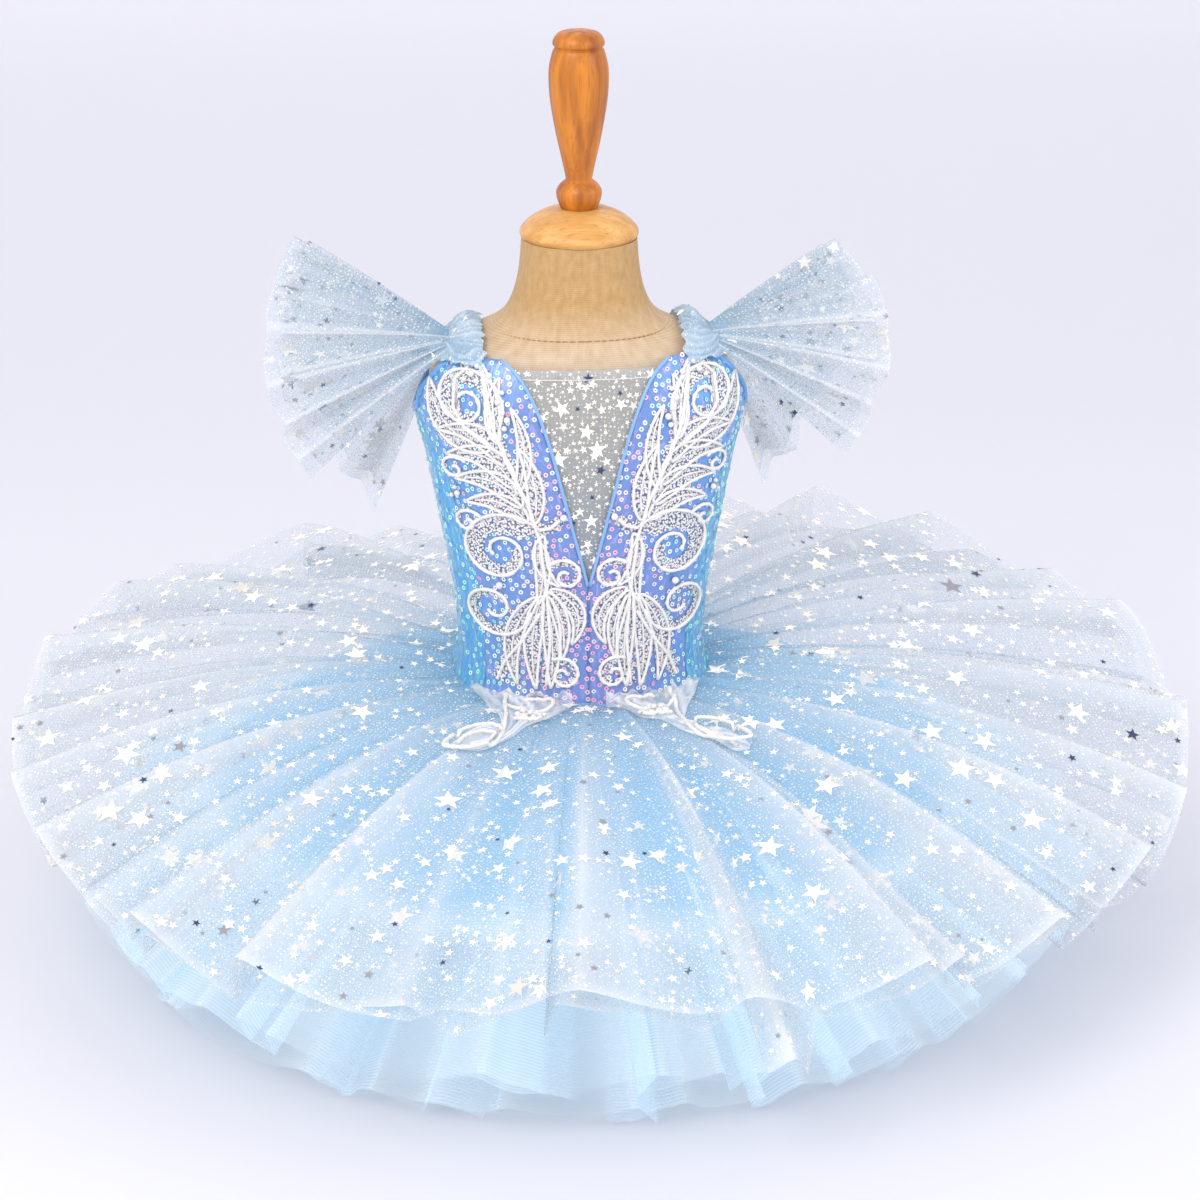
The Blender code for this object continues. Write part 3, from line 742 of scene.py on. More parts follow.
def between(start, end, count):
    """Evenly spaced values, both ends included."""
    return [mix(start, end, c / (count - 1)) for c in range(count)]


def neck_half(z):
    """Half the width of the V at this height."""
    return value_at(NECKLINE, "z", z, "half") if z > NECKLINE[0].z else 0.0


def front_rows():
    """From the centre seam and the V of the neck to the princess seam and the armhole."""
    piping, high, wide, rows = 1.6, 78, 44, []
    for z in between(WAIST, SHOULDER, high):
        inner = max(SEAM / 2, neck_half(z) + piping * min(1, neck_half(z)))
        line = value_at(PRINCESS, "z", z, "degrees") - SEAM_DEGREES
        rows.append([(z, degrees) for degrees in between(degrees_at(BODICE, z, inner), line, wide)])
    return rows


def side_rows():
    """From the princess seam to the seam at the back, with a dip under the arm."""
    high, columns, dip_from, rows = 66, 70, 350, []
    for z in between(WAIST, UNDERARM, high):
        line = value_at(PRINCESS, "z", z, "degrees") + SEAM_DEGREES
        rows.append([(z, degrees) for degrees in between(line, SIDE_BACK - SEAM_DEGREES, columns)])
    for row in rows:
        for c, (z, degrees) in enumerate(row):
            dip = UNDERARM_DIP * math.sin(math.pi * c / (columns - 1))
            row[c] = (z - dip * max(0, (z - dip_from) / (UNDERARM - dip_from)), degrees)
    return rows


def back_rows():
    """The back in one piece, with a scooped upper edge between the two straps."""
    high, wide = 64, 150
    edge = [(180 - SIDE_BACK - SEAM_DEGREES, UNDERARM)] + BACK_TOP[::-1]
    edge = [(-degrees, z) for degrees, z in edge] + edge[-2::-1]
    keys, tops = zip(*edge)
    columns = between(keys[0], keys[-1], wide)
    tops = np.interp(columns, keys, tops)
    return [
        [(mix(WAIST, top, share), 180 + degrees) for degrees, top in zip(columns, tops)]
        for share in between(0, 1, high)
    ]


def mirrored(rows, side):
    """Rows of the right side as they are, or turned over for the left."""
    return rows if side > 0 else [[(z, -degrees) for z, degrees in reversed(row)] for row in rows]


print("the V is", round(2 * neck_half(SHOULDER)), "mm wide at the shoulder")


# %% Panels of the bodice
def make_panel(name, rows, depth, seed, material, cut):
    """Makes the panel and gives its grid. cut: the width and length that it is cut to, in millimetres."""
    grid = body_grid(rows, crinkles(rows, depth, seed))
    lengths = grid_lengths(grid)
    panel = make_sheet(name, grid, lengths, material, thick=WALL)
    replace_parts(panel, f"bodice_{name}")
    flat = (cut[0] * MM, cut[1] * MM)
    area = float(np.ptp(lengths[..., 0].mean(axis=0)) * np.ptp(lengths[..., 1].mean(axis=1)))
    area = min(area * MM * MM, flat[0] * flat[1])
    return grid


FRONT_CUT, SIDE_CUT, BACK_CUT = (112, 285), (122, 240), (225, 275)
SMOOTH, SHIRRED = 0.25, 0.8  # how deep its ridges are
panels = {}
for side, label in SIDES:
    front, flank = f"front_{label}", f"side_{label}"
    rows = mirrored(front_rows(), side)
    panels[front] = make_panel(front, rows, SMOOTH, 11 + side, front_satin, FRONT_CUT)
    rows = mirrored(side_rows(), side)
    panels[flank] = make_panel(flank, rows, SHIRRED, 21 + side, side_satin, SIDE_CUT)
panels["back"] = make_panel("back", back_rows(), SHIRRED, 31, side_satin, BACK_CUT)
print("bodice panels:", sorted(panels))

# %% [markdown]
# ## Tulle
#
# Tulle is a net so fine that it acts as a film: each layer hides part of what is behind it, and many
# layers add up to a deep blue. Where it is gathered at the waist, several widths of it lie on each
# other, so its film is nearly closed there. Each point of a skirt therefore carries the share that
# its film hides. The star tulle is also printed all over with glitter dots, about 3 mm apart. The net
# itself is too fine to show, so its threads are drawn as faint rings 2.4 mm apart.


# %% Tulle materials
def tulle(name, shade, deep, pale, dots=0.0, threads=0.0, painted_glow=0.0):
    """shade: its colour where it lies single, deep: where many widths lie on each other, and painted shade
    in the valleys, pale: on raw edges, and on creases, where it is partly a painted highlight. dots: how
    much glitter is printed on it, threads: how clearly its threads show, painted_glow: painted light, the
    cloth glowing with its own colour in place of the light that comes through it from behind."""
    dot_pitch, ring_pitch = 3.1 * MM, 2.4 * MM
    material, tree, shader = start_material(name, Roughness=0.75)
    place, alpha, crease = place_on_cloth(tree), carried(tree, "film"), carried(tree, "crease")
    if threads:
        rings = {"Vector": place, "Scale": 2 * math.pi / (20 * ring_pitch)}
        wave = add_node(tree, "ShaderNodeTexWave", rings, wave_type="RINGS", rings_direction="SPHERICAL")
        weave = calculate(tree, "MULTIPLY_ADD", wave.outputs["Fac"], threads, 1 - threads / 2)
        alpha = calculate(tree, "MULTIPLY", alpha, weave)
    alpha = calculate(tree, "MULTIPLY_ADD", crease, 0.4, alpha, use_clamp=True)
    # the deep colour also carries painted shade where the marks put it, and the pale crease colour is partly
    # a painted highlight
    paint = blend(tree, crease, blend(tree, carried(tree, "deep"), shade, deep), pale)
    if dots:
        spots = {"Vector": place, "Scale": 1 / dot_pitch, "Randomness": 0.6}
        spots = add_node(tree, "ShaderNodeTexVoronoi", spots, voronoi_dimensions="2D")
        luck = add_node(tree, "ShaderNodeSeparateColor", {0: spots.outputs["Color"]})
        radius = fit(tree, luck.outputs["Red"], 0, 1, 0.06, 0.25)
        dot = calculate(tree, "LESS_THAN", spots.outputs["Distance"], radius)
        dot = calculate(tree, "MULTIPLY", dot, dots)
        # each dot is painted white or grey at random, as painted glints of the glitter
        painted_sparkle = fit(tree, luck.outputs["Green"], 0, 0.42, 0.3, 1.0)
        foil = blend(tree, painted_sparkle, srgb("#8a90a0"), srgb("#fffdf8"))
        paint = blend(tree, dot, paint, foil)
        alpha = calculate(tree, "MAXIMUM", alpha, dot)
    plug(shader, Base_Color=paint, Alpha=alpha)
    # painted light: the cloth glows with its own colour, in place of light coming through it from behind
    if painted_glow:
        plug(shader, Emission_Color=paint)
        shader.inputs["Emission Strength"].default_value = painted_glow
    return material


# the colours of the cloth, of its depths and painted shade, and of its creases with their painted highlight
shades = [srgb(shade) for shade in ("#dfe5ec", "#90c1e2", "#fdfdff")]
star_tulle = tulle("glitter_star_tulle", *shades, dots=0.78, painted_glow=0.06)
shades = [srgb(shade) for shade in ("#dbebf5", "#86bfe4", "#f4faff")]
sky_tulle = tulle("soft_sky_blue_tulle", *shades, threads=0.3, painted_glow=0.5)
print("tulle:", star_tulle.name, sky_tulle.name)

# %% [markdown]
# ## Foil stars
#
# The stars are hot foil on the tulle, in four sizes. Their gleam is painted: most are painted white, as a
# painted highlight, a few grey or dark, as painted shade where foil turns away from the light, and each
# glows faintly with its own colour, as painted light. Each is a flat star of eleven points. It is laid on
# the sheet at a random place, every point of it is then put down on the nearest cloth, so that it bends
# over a crease, and lifted by half a millimetre. Places come from the sheet's own faces, larger faces more
# often, and a place too near to an earlier one is left out.


# %% Scatter
def grid_tree(grid):
    """A search tree of the grid's faces, to find the cloth near a place or under it."""
    index = np.arange(grid.shape[0] * grid.shape[1]).reshape(grid.shape[:2])
    quads = np.stack(grid_corners(index), 2).reshape(-1, 4)
    return BVHTree.FromPolygons([Vector(p) for p in grid.reshape(-1, 3)], quads.tolist())


def scatter(grid, count, gap, seed):
    """Random places on a grid, at least this gap apart: the points, and at each the directions across,
    up and out."""
    random = np.random.default_rng(seed)
    a, b, c, d = grid_corners(grid)
    across, up = (b + c - a - d) / 2, (c + d - a - b) / 2
    facing = np.cross(across, up)
    area = np.linalg.norm(facing, axis=2).ravel()
    chosen = random.choice(area.size, count * 3, p=area / area.sum())
    s, t = random.random((2, count * 3, 1))
    corners = [corner.reshape(-1, 3)[chosen] for corner in (a, b, c, d)]
    places = mix(mix(corners[0], corners[1], s), mix(corners[3], corners[2], s), t)
    taken, kept = {}, []
    for n, place in enumerate(places):
        x, y, z = (int(value) for value in place // gap)
        near = [(x + i, y + j, z + k) for i, j, k in product((-1, 0, 1), repeat=3)]
        if any(np.linalg.norm(place - other) < gap for spot in near for other in taken.get(spot, ())):
            continue
        taken.setdefault((x, y, z), []).append(place)
        kept.append(n)
        if len(kept) == count:
            break

    def unit(vectors):
        vectors = vectors.reshape(-1, 3)[chosen[kept]]
        return vectors / (np.linalg.norm(vectors, axis=1, keepdims=True) + 1e-9)

    return places[kept], unit(across), unit(up), unit(facing), random


patch = np.array([[(x, 0, z) for x in (0.0, 100.0)] for z in (0.0, 100.0)])
print(len(scatter(patch, 1000, 5.0, 1)[0]), "places 5 mm apart fit on a square of 100 mm")

# %% Stars
Star = namedtuple("Star", "size share")
# radius, and share of the number
STAR_SIZES = [Star(10.2, 0.045), Star(5.8, 0.1), Star(3.3, 0.41), Star(2.2, 0.445)]
STAR_SPREAD, SMALL_STAR = (0.85, 1.12), 4
# hot foil is a thin skin of metal. Its gleam is painted: each star's tone paints it white, as a painted
# highlight, or dark, as painted shade, and it glows a little with that colour, as painted light
foil_material, foil_tree, foil_shader = start_material(
    "silver_hot_foil", Metallic=0.25, Roughness=0.3, Emission_Strength=0.2
)
foil_colour = blend(foil_tree, carried(foil_tree, "tone"), srgb("#3a4766"), srgb("#fff9ee"))
plug(foil_shader, Base_Color=foil_colour, Emission_Color=foil_colour)


def star_outline(size):
    """The middle, then five tips and the five corners between them."""
    spots, waist = [(0.0, 0.0)], 0.42
    for k in range(10):
        radius = size if k % 2 == 0 else size * waist
        spots.append((radius * math.sin(math.pi * k / 5), radius * math.cos(math.pi * k / 5)))
    return np.array(spots)


def painted_foil_tone_for(draw, dark):
    """A star's painted brightness: most are painted white, as a painted highlight, and a share is painted
    grey or dark, as painted shade on foil turned away from the light.
    """
    for limit, tone in ((dark, 0.0), (3 * dark, 0.3), (6 * dark, 0.75)):
        if draw < limit:
            return tone
    return 1.0


def add_flakes(name, points, faces, tones, material):
    """One piece of many flat bits, with a tone for each of their points."""
    mesh = bpy.data.meshes.new(name)
    mesh.from_pydata([tuple(point) for point in points], [], faces)
    mesh.attributes.new("tone", "FLOAT", "POINT").data.foreach_set("value", np.array(tones, np.float32))
    return add_piece(name, mesh, material)


def make_stars(name, grid, count, gap, seed, sizes=STAR_SIZES, lift=0.5, dark=0.02):
    """Stars scattered on a sheet. gap and lift: how far apart they are, and how far off the cloth."""
    places, across, up, facing, random = scatter(grid, count, gap, seed)
    tree = grid_tree(grid)
    ends = np.cumsum([star.share for star in sizes])
    points, faces, tones = [], [], []
    for i, place in enumerate(places):
        kind = min(int(np.searchsorted(ends, (i + 0.5) / len(places))), len(sizes) - 1)
        size = sizes[kind].size * random.uniform(*STAR_SPREAD)
        turn = random.uniform(0, 2 * math.pi)
        right = math.cos(turn) * across[i] + math.sin(turn) * up[i]
        ahead = np.cross(facing[i], right)
        base = len(points)
        for x, y in star_outline(size):
            spot = Vector(place + x * right + y * ahead)
            found, normal, _, _ = tree.find_nearest(spot, size * 2)
            if found is not None:
                side = 1 if normal.dot(Vector(facing[i])) > 0 else -1
                spot = found + normal * side * lift
            points.append(spot * MM)
        faces += [(base + k % 10 + 1, base + k, base) for k in range(1, 11)]
        draw = random.random() * (1 if size < SMALL_STAR else 3)  # a large star is seldom dark
        tones += [painted_foil_tone_for(draw, dark)] * 11
    return add_flakes(name, points, faces, tones, foil_material)


print("a star has", len(star_outline(SMALL_STAR)), "points; sizes", [star.size for star in STAR_SIZES], "mm")

# %% [markdown]
# ## The skirt
#
# Two layers of star tulle lie on four of plain tulle. Each layer starts at its seam on the bodice and
# ends at its hem, and its folds are listed one by one for the star tulle, from the centre back round
# by the left to the front and on by the right. A fold rises from a valley to a crest that leans over,
# so the cloth lies in flat panels with crisp edges, like a hand of cards.

# %% Tables of the skirt
# A fold has a width in degrees. Its crest stands this high, leans over this far, and hangs this much
# lower at the hem.
Hem = namedtuple("Hem", "degrees radius z")
Fold = namedtuple("Fold", "degrees depth lean drop")
TOP_HEM = [
    Hem(-180, 425, 152), Hem(-150, 430, 150), Hem(-120, 430, 165), Hem(-90, 420, 150), Hem(-60, 422, 142),
    Hem(-35, 432, 130), Hem(0, 427, 138), Hem(35, 432, 122), Hem(60, 443, 120), Hem(90, 455, 153),
    Hem(120, 440, 178), Hem(150, 436, 172),
]  # fmt: skip
MID_HEM = [Hem(-180, 372, 56), Hem(-90, 378, 54), Hem(0, 374, 50), Hem(90, 384, 52)]
UNDER_HEM = [Hem(-180, 350, 14), Hem(-90, 354, 14), Hem(0, 352, 14), Hem(90, 358, 14)]
TOP_FOLDS = [
    Fold(17, 34, -38, 0), Fold(13, 26, -32, 4), Fold(16, 38, -44, -4), Fold(12, 25, -28, 3),
    Fold(15, 36, -42, 0), Fold(17, 42, -50, -5), Fold(12, 28, -34, 4), Fold(14, 34, -40, 0),
    Fold(16, 40, -46, 3), Fold(13, 28, -32, -3), Fold(18, 36, -40, 2), Fold(27, 22, -12, 0),
    Fold(6, 26, 6, 54), Fold(13, 26, 24, 0), Fold(14, 32, 38, 3), Fold(16, 40, 46, -3),
    Fold(13, 28, 34, 4), Fold(15, 36, 42, 0), Fold(17, 42, 50, -4), Fold(13, 28, 34, 3),
    Fold(15, 36, 42, 0), Fold(16, 38, 46, -3), Fold(12, 25, 30, 4), Fold(10, 28, 30, 0), Fold(10, 26, 26, 2),
]  # fmt: skip


def uneven_folds(count, depth, lean, phase):
    """Folds that differ from each other in width and depth the way gathered tulle does."""
    widths = [1 + 0.28 * math.sin(2.4 * i + phase) + 0.17 * math.sin(5.1 * i + 1) for i in range(count)]
    depths = [depth * (1 + 0.3 * math.sin(3.3 * i + phase)) for i in range(count)]
    leans = [lean * math.sin(1.7 * i + phase) for i in range(count)]
    share = 360 / sum(widths)
    return [Fold(width * share, deep, over, 0) for width, deep, over in zip(widths, depths, leans)]


# arch and fall: how far the layer bulges up on its way, and how late it drops. less and lower: how far
# the hem lies inside and below the table's. film: what one width of it hides. open_from: how far down
# from the waist the cloth lies gathered so closely that it hides all.
Layer = namedtuple("Layer", "name solid seam_z arch fall hem folds less lower film open_from")
LAYERS = [
    Layer("star_tulle_upper", "skirt_top", 193, 12, 1.5, TOP_HEM, TOP_FOLDS, 0, 0, 0.3, 0),
    Layer("star_tulle_lower", "skirt_top", 191, 10, 1.45, TOP_HEM,
        uneven_folds(27, 26, 34, 0.9), 7, 11, 0.26, 0),
    Layer("sky_tulle_first", "skirt_mid", 185, 7, 1.15, MID_HEM,
        uneven_folds(26, 26, 34, 0.5), 0, 0, 0.36, 0.7),
    Layer("sky_tulle_second", "skirt_mid", 183, 5, 1.1, MID_HEM,
        uneven_folds(23, 24, 30, 2.1), 6, 8, 0.3, 0.6),
    Layer("sky_tulle_third", "skirt_under", 178, 4, 1.05, UNDER_HEM,
        uneven_folds(27, 24, 30, 3.4), 0, 0, 0.3, 0.5),
    Layer("sky_tulle_fourth", "skirt_under", 176, 3, 1.05, UNDER_HEM,
        uneven_folds(24, 20, 26, 4.6), 5, 2, 0.26, 0.5),
]  # fmt: skip
print("skirt:", len(LAYERS), "layers with", [len(layer.folds) for layer in LAYERS], "folds")


# %% Folds of the skirt
OVERLAP = 1.5  # how much further a thin sheet leans over than its solid does


def fold_height(t, crest=0.5, soft=0.09):
    """Height of a fold at this share of its width: flat slopes, a crisp crest and a crisp valley."""
    away = np.where(t < crest, (crest - t) / crest, (t - crest) / (1 - crest))
    height = np.clip(1 + soft - np.sqrt(away**2 + soft**2), 0, 1)
    return np.sqrt(height**2 + soft**2) - soft


def skirt_columns(layer, steps):
    """For each column of the grid: its angle, the height within its fold, and the fold's values."""
    columns, start = [], -180.0
    for k, fold in enumerate(layer.folds):
        crest = 0.5 + 0.07 * math.sin(2.9 * k)
        for t in np.arange(steps) / steps:
            columns.append((start + fold.degrees * t, t, crest, fold.depth, fold.lean, fold.drop))
        start += fold.degrees
    first = layer.folds[0]
    columns.append((180.0, 0.0, 0.5, first.depth, first.lean, first.drop))
    return np.array(columns).T


def skirt_ripples(seed, arc, along):
    """Small waves on the folds: puckers by the waist, crumples further down, and a flutter of the hem."""
    by_waist = 2.1 * np.exp(-along / 0.2) * np.minimum(along * 30, 1)
    pucker = by_waist * ripple(seed, arc + 14 * along, 6, 9, 22)
    crumple = 2.4 * along * ripple(seed + 1, arc + 22 * np.sin(3 * along), 7, 18, 75)
    flutter = 3.0 * along**7 * ripple(seed + 2, arc, 5, 24, 80)
    return pucker + crumple + flutter


def skirt_grid(layer, steps, rows, seed):
    """The layer's points, how far down each row lies, from 0 to 1, and for each column its height in the
    fold, whether it faces in under the next fold, and whether it belongs to the fold that hangs down."""
    degrees, t, crest, depth, lean, drop = skirt_columns(layer, steps)
    height = fold_height(t, crest)
    tucked = (t < crest) == (lean < 0)
    clearance, gather, mean_radius, hanging_drop = 0.5, 1.5, 300, 30
    start = np.array([body_radius(BODICE, layer.seam_z, d, SEAM + clearance) for d in degrees])
    reach = np.array([value_at(layer.hem, "degrees", d, "radius", 360) for d in degrees]) - layer.less
    hem_z = np.array([value_at(layer.hem, "degrees", d, "z", 360) for d in degrees]) - layer.lower
    along = np.linspace(0, 1, rows)[:, None] ** 0.9
    slope = np.arctan2(layer.seam_z - hem_z, reach - start)
    # the ripples die out at the centre back, where the two ends of the layer meet
    ends_meet = np.sin(math.pi * np.clip((degrees + 180) / 360, 0, 1)) ** 0.02
    arc = np.radians(degrees) * mean_radius * ends_meet
    lift = mix(gather, depth, along**0.9) * (height - 0.5) + skirt_ripples(seed, arc, along)
    radius = mix(start, reach, along) + lift * np.sin(slope) * along
    z = mix(layer.seam_z, hem_z, along**layer.fall) + layer.arch * np.sin(math.pi * along)
    dropped = np.minimum(1, 2.4 * height)
    z = z + lift * np.cos(slope) - drop * dropped * dropped * (3 - 2 * dropped) * along**2
    turn = np.radians(degrees) + OVERLAP * lean * height * along / np.maximum(radius, 1)
    grid = np.stack([radius * np.sin(turn), -radius * np.cos(turn), z], 2)
    grid[:, -1] = grid[:, 0]
    return grid, along, height, tucked, drop > hanging_drop


print("a fold rises through", fold_height(np.linspace(0, 0.5, 5)).round(2))

# %% [markdown]
# What a layer hides follows from how many widths of it lie on each other: many by the waist, one or
# two where it is spread. Its colour deepens the same way, and down in the valleys it deepens as painted
# shade. The crests and the raw hem are pale, the crests partly as a painted highlight. On the star tulle
# the side of each fold that rises to its crest is also made to hide more, so it looks whiter: painted light.


# %% Skirt sheets
def skirt_marks(layer, grid, along, height, tucked, hanging):
    """The map of a flared layer, how much it hides, and where its creases and its raw edge lie."""
    hem_arc = edge_length(grid[-1])
    length = spacing(grid).mean(axis=1)
    waist_radius = 90
    away = waist_radius + np.concatenate([[0], np.cumsum(length)])
    turn = hem_arc / away[-1]
    cloth_map = np.stack([away[:, None] * np.sin(turn), away[:, None] * np.cos(turn)], 2)
    star = "star" in layer.name
    cloud = 1 + 0.25 * ripple(7, hem_arc + 60 * np.sin(5 * along), 5, 60, 200)
    spread = np.minimum(1, along * 3)
    if star:
        contrast = 1.0 if layer.name.endswith("upper") else 0.5
        # pale: the side of each fold that rises to its crest hides more and so looks whiter, as painted
        # light on the panel
        pale = 2.5 * height**2.2 * ~tucked - 0.6
        widths = 1 + 1.6 * np.exp(-along / 0.14) + contrast * spread * pale
        # valley: painted shade, the colour deepens down in each valley
        valley = (1 - height) * spread
    else:
        closed = np.clip((layer.open_from - along) / 0.12, 0, 1)
        widths = 14 * closed + 0.55 + 0.5 * height**2 + 0.9 * tucked - 0.5 * along**8
        # valley: closely gathered and overlapped cloth, and painted shade down in the valleys
        valley = np.maximum(closed, 0.6 * np.maximum((1 - height) ** 1.2, 0.8 * tucked) * spread)
    film = 1 - (1 - layer.film) ** (widths * cloud)
    deep = np.maximum(np.exp(-along / 0.3), (1.0 - 0.35 * along) * valley)
    # crest: a pale line on each crest, partly a painted highlight
    crest = np.clip((height - 0.85) / 0.12, 0, 1) ** 2 * np.minimum(1, along * 2)
    raw = (1.0 if star else 0.1) * np.clip((along - 0.988) / 0.012, 0, 1) * np.ones_like(height)
    crease = np.maximum(np.maximum(0.9 * crest, 0.5 * raw), 0.5 * hanging * height * spread)
    marks = {"film": np.clip(film, 0, 1), "deep": deep, "crease": crease}
    return cloth_map, marks, float(hem_arc[-1]), float(sum(length))


def make_layer(layer, seed):
    """A layer of the skirt, with its stars if it is of star tulle."""
    star = "star" in layer.name
    cloth, slot = (star_tulle, "star_tulle") if star else (sky_tulle, "plain_tulle")
    rows, steps = 34, 22 if star else 20
    grid, *folds = skirt_grid(layer, steps, rows, seed)
    cloth_map, marks, hem, length = skirt_marks(layer, grid, *folds)
    marks = {key: values[::-1] for key, values in marks.items()}
    sheet = make_sheet(layer.name, grid[::-1], cloth_map[::-1], cloth, ring=True, marks=marks)
    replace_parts(sheet, layer.solid)
    if star:
        count, gap = 3200 if layer.name.endswith("upper") else 1000, 5.5
        make_stars(f"{layer.name}_stars", grid[::-1], count, gap, seed)
    print(f"{layer.name}: hem {hem / 1000:.2f} m, length {length:.0f} mm, {len(sheet.data.polygons)} faces")
    return sheet, grid


layers = {layer.name: make_layer(layer, 100 + 10 * i) for i, layer in enumerate(LAYERS)}

# %% [markdown]
# ## Sleeves and straps
#
# A flutter sleeve is a strip of star tulle, pleated and sewn to the outer edge of the strap, so that
# it fans out over the arm from front to back. Rays give its direction and length at a few places, and
# pleats of uneven width stand up between them. A strap is a tube of the same tulle, gathered until it
# is puffy, so it has narrow ridges across.

# %% Tables of the sleeve
# where on the strap a ray starts, its rise in degrees, how far it turns forward, and its two lengths
Ray = namedtuple("Ray", "along lift forward left right")
STRAP_INNER, STRAP_OUTER, STRAP_BACK_TOP, STRAP_CROWN = 68, 90, 437, 5
SLEEVE_RAYS = [
    Ray(0.04, -38, 0.30, 133, 121), Ray(0.18, -16, 0.32, 136, 126), Ray(0.34, 10, 0.22, 136, 130),
    Ray(0.50, 33, 0.02, 132, 112), Ray(0.64, 12, -0.24, 132, 124), Ray(0.77, -34, -0.38, 138, 130),
    Ray(0.93, -68, -0.24, 156, 142),
]  # fmt: skip
PLEAT_WIDTHS = [1.3, 0.8, 1.2, 1.5, 0.8, 1.3, 0.9, 1.4, 0.8, 1.2, 1.0]
PLEAT_DEPTH, STAR_GAP = 9.5, 5.0
SLEEVE_STARS = [Star(8.5, 0.06), Star(5.4, 0.16), Star(3.2, 0.4), Star(2.2, 0.38)]
print(len(PLEAT_WIDTHS), "pleats in each ply of a sleeve")


# %% Places on strap and sleeve
def form_top(x, y):
    """Height of the form's shoulder at this place, found by halving."""
    low, high = 400.0, 515.0
    for _ in range(30):
        z = (low + high) / 2
        half, depth = section_at(FORM, z, 0 if y < 0 else 180, 0)
        inside = abs(x / half) ** ROUND + abs(y / depth) ** ROUND < 1
        low, high = (z, high) if inside else (low, z)
    return low


def strap_point(side, across, along):
    """A point of the strap's underside: across from the neck to the arm, along from front to back."""
    x = mix(STRAP_INNER, STRAP_OUTER, across)
    front_z, back_z = SHOULDER + SEAM, STRAP_BACK_TOP + SEAM
    front_y = body_point(BODICE, front_z, degrees_at(BODICE, front_z, x)).y
    back_y = body_point(BODICE, back_z, 180 - degrees_at(BODICE, back_z, x)).y
    top = form_top(x, mix(front_y, back_y, 0.5)) + SEAM
    arch = (top - mix(front_z, back_z, 0.5)) * (1 - abs(2 * along - 1) ** 3)
    crown = STRAP_CROWN * math.sin(math.pi * across) * math.sin(math.pi * along)
    return Vector((side * x, mix(front_y, back_y, along), mix(front_z, back_z, along) + arch + crown))


def sleeve_ray(side, share, reach):
    """Where the sleeve springs from the strap here, its direction and length, and how its pleats stand."""
    along = mix(SLEEVE_RAYS[0].along, SLEEVE_RAYS[-1].along, share)
    lift = math.radians(value_at(SLEEVE_RAYS, "along", along, "lift"))
    forward = value_at(SLEEVE_RAYS, "along", along, "forward")
    length = value_at(SLEEVE_RAYS, "along", along, "left" if side < 0 else "right") * reach
    level = math.sqrt(1 - forward**2)
    ray = Vector((side * level * math.cos(lift), -forward, level * math.sin(lift)))
    root = strap_point(side, 1, along) + Vector((side * 0.8, 0, 1.0))
    fan = Vector((0, 1, 0)).cross(ray) * side
    across = fan if abs(forward) < 0.2 else Vector((0, -math.copysign(1, forward), 0))
    return (*root, *(ray * length), *(across - ray * across.dot(ray)).normalized())


print("the strap's crown is", round(strap_point(1, 0.5, 0.5).z), "mm above the base")


# %% Sleeves
def sleeve_grid(side, steps, rows, shift, reach):
    """Columns run over the pleats, from front to back, and rows from the strap out to the edge. Each
    column also has its height within the pleat, and whether it lies beyond the pleat's crest. shift: which
    pleat comes first. reach: the share of the full length."""
    crest, gather, sag = 0.6, 0.6, 4.0
    widths = np.array(PLEAT_WIDTHS[shift:] + PLEAT_WIDTHS[:shift])
    edges = np.concatenate([[0], np.cumsum(widths)]) / widths.sum()
    columns = [(mix(a, b, t), t) for a, b in zip(edges, edges[1:]) for t in np.arange(steps) / steps]
    columns.append((1.0, 0.0))
    share, t = np.array(columns).T
    height = fold_height(t, crest, 0.07)
    rays = np.array([sleeve_ray(side, s, reach) for s in share])
    mean_edge = 300
    arc = share * mean_edge
    edge = 1 + 0.018 * ripple(40 + shift, arc, 4, 12, 60)
    out = np.linspace(0, 1, rows)[:, None] ** 0.85
    stand = mix(gather, PLEAT_DEPTH, out**0.8) * (2 * height - 1)
    stand = stand + 1.2 * out * ripple(44 + shift, arc, 5, 8, 30)
    grid = rays[:, :3] + rays[:, 3:6] * (out * edge)[..., None] + rays[:, 6:] * stand[..., None]
    grid[..., 2] -= sag * out**2
    return grid, height, t > crest, out


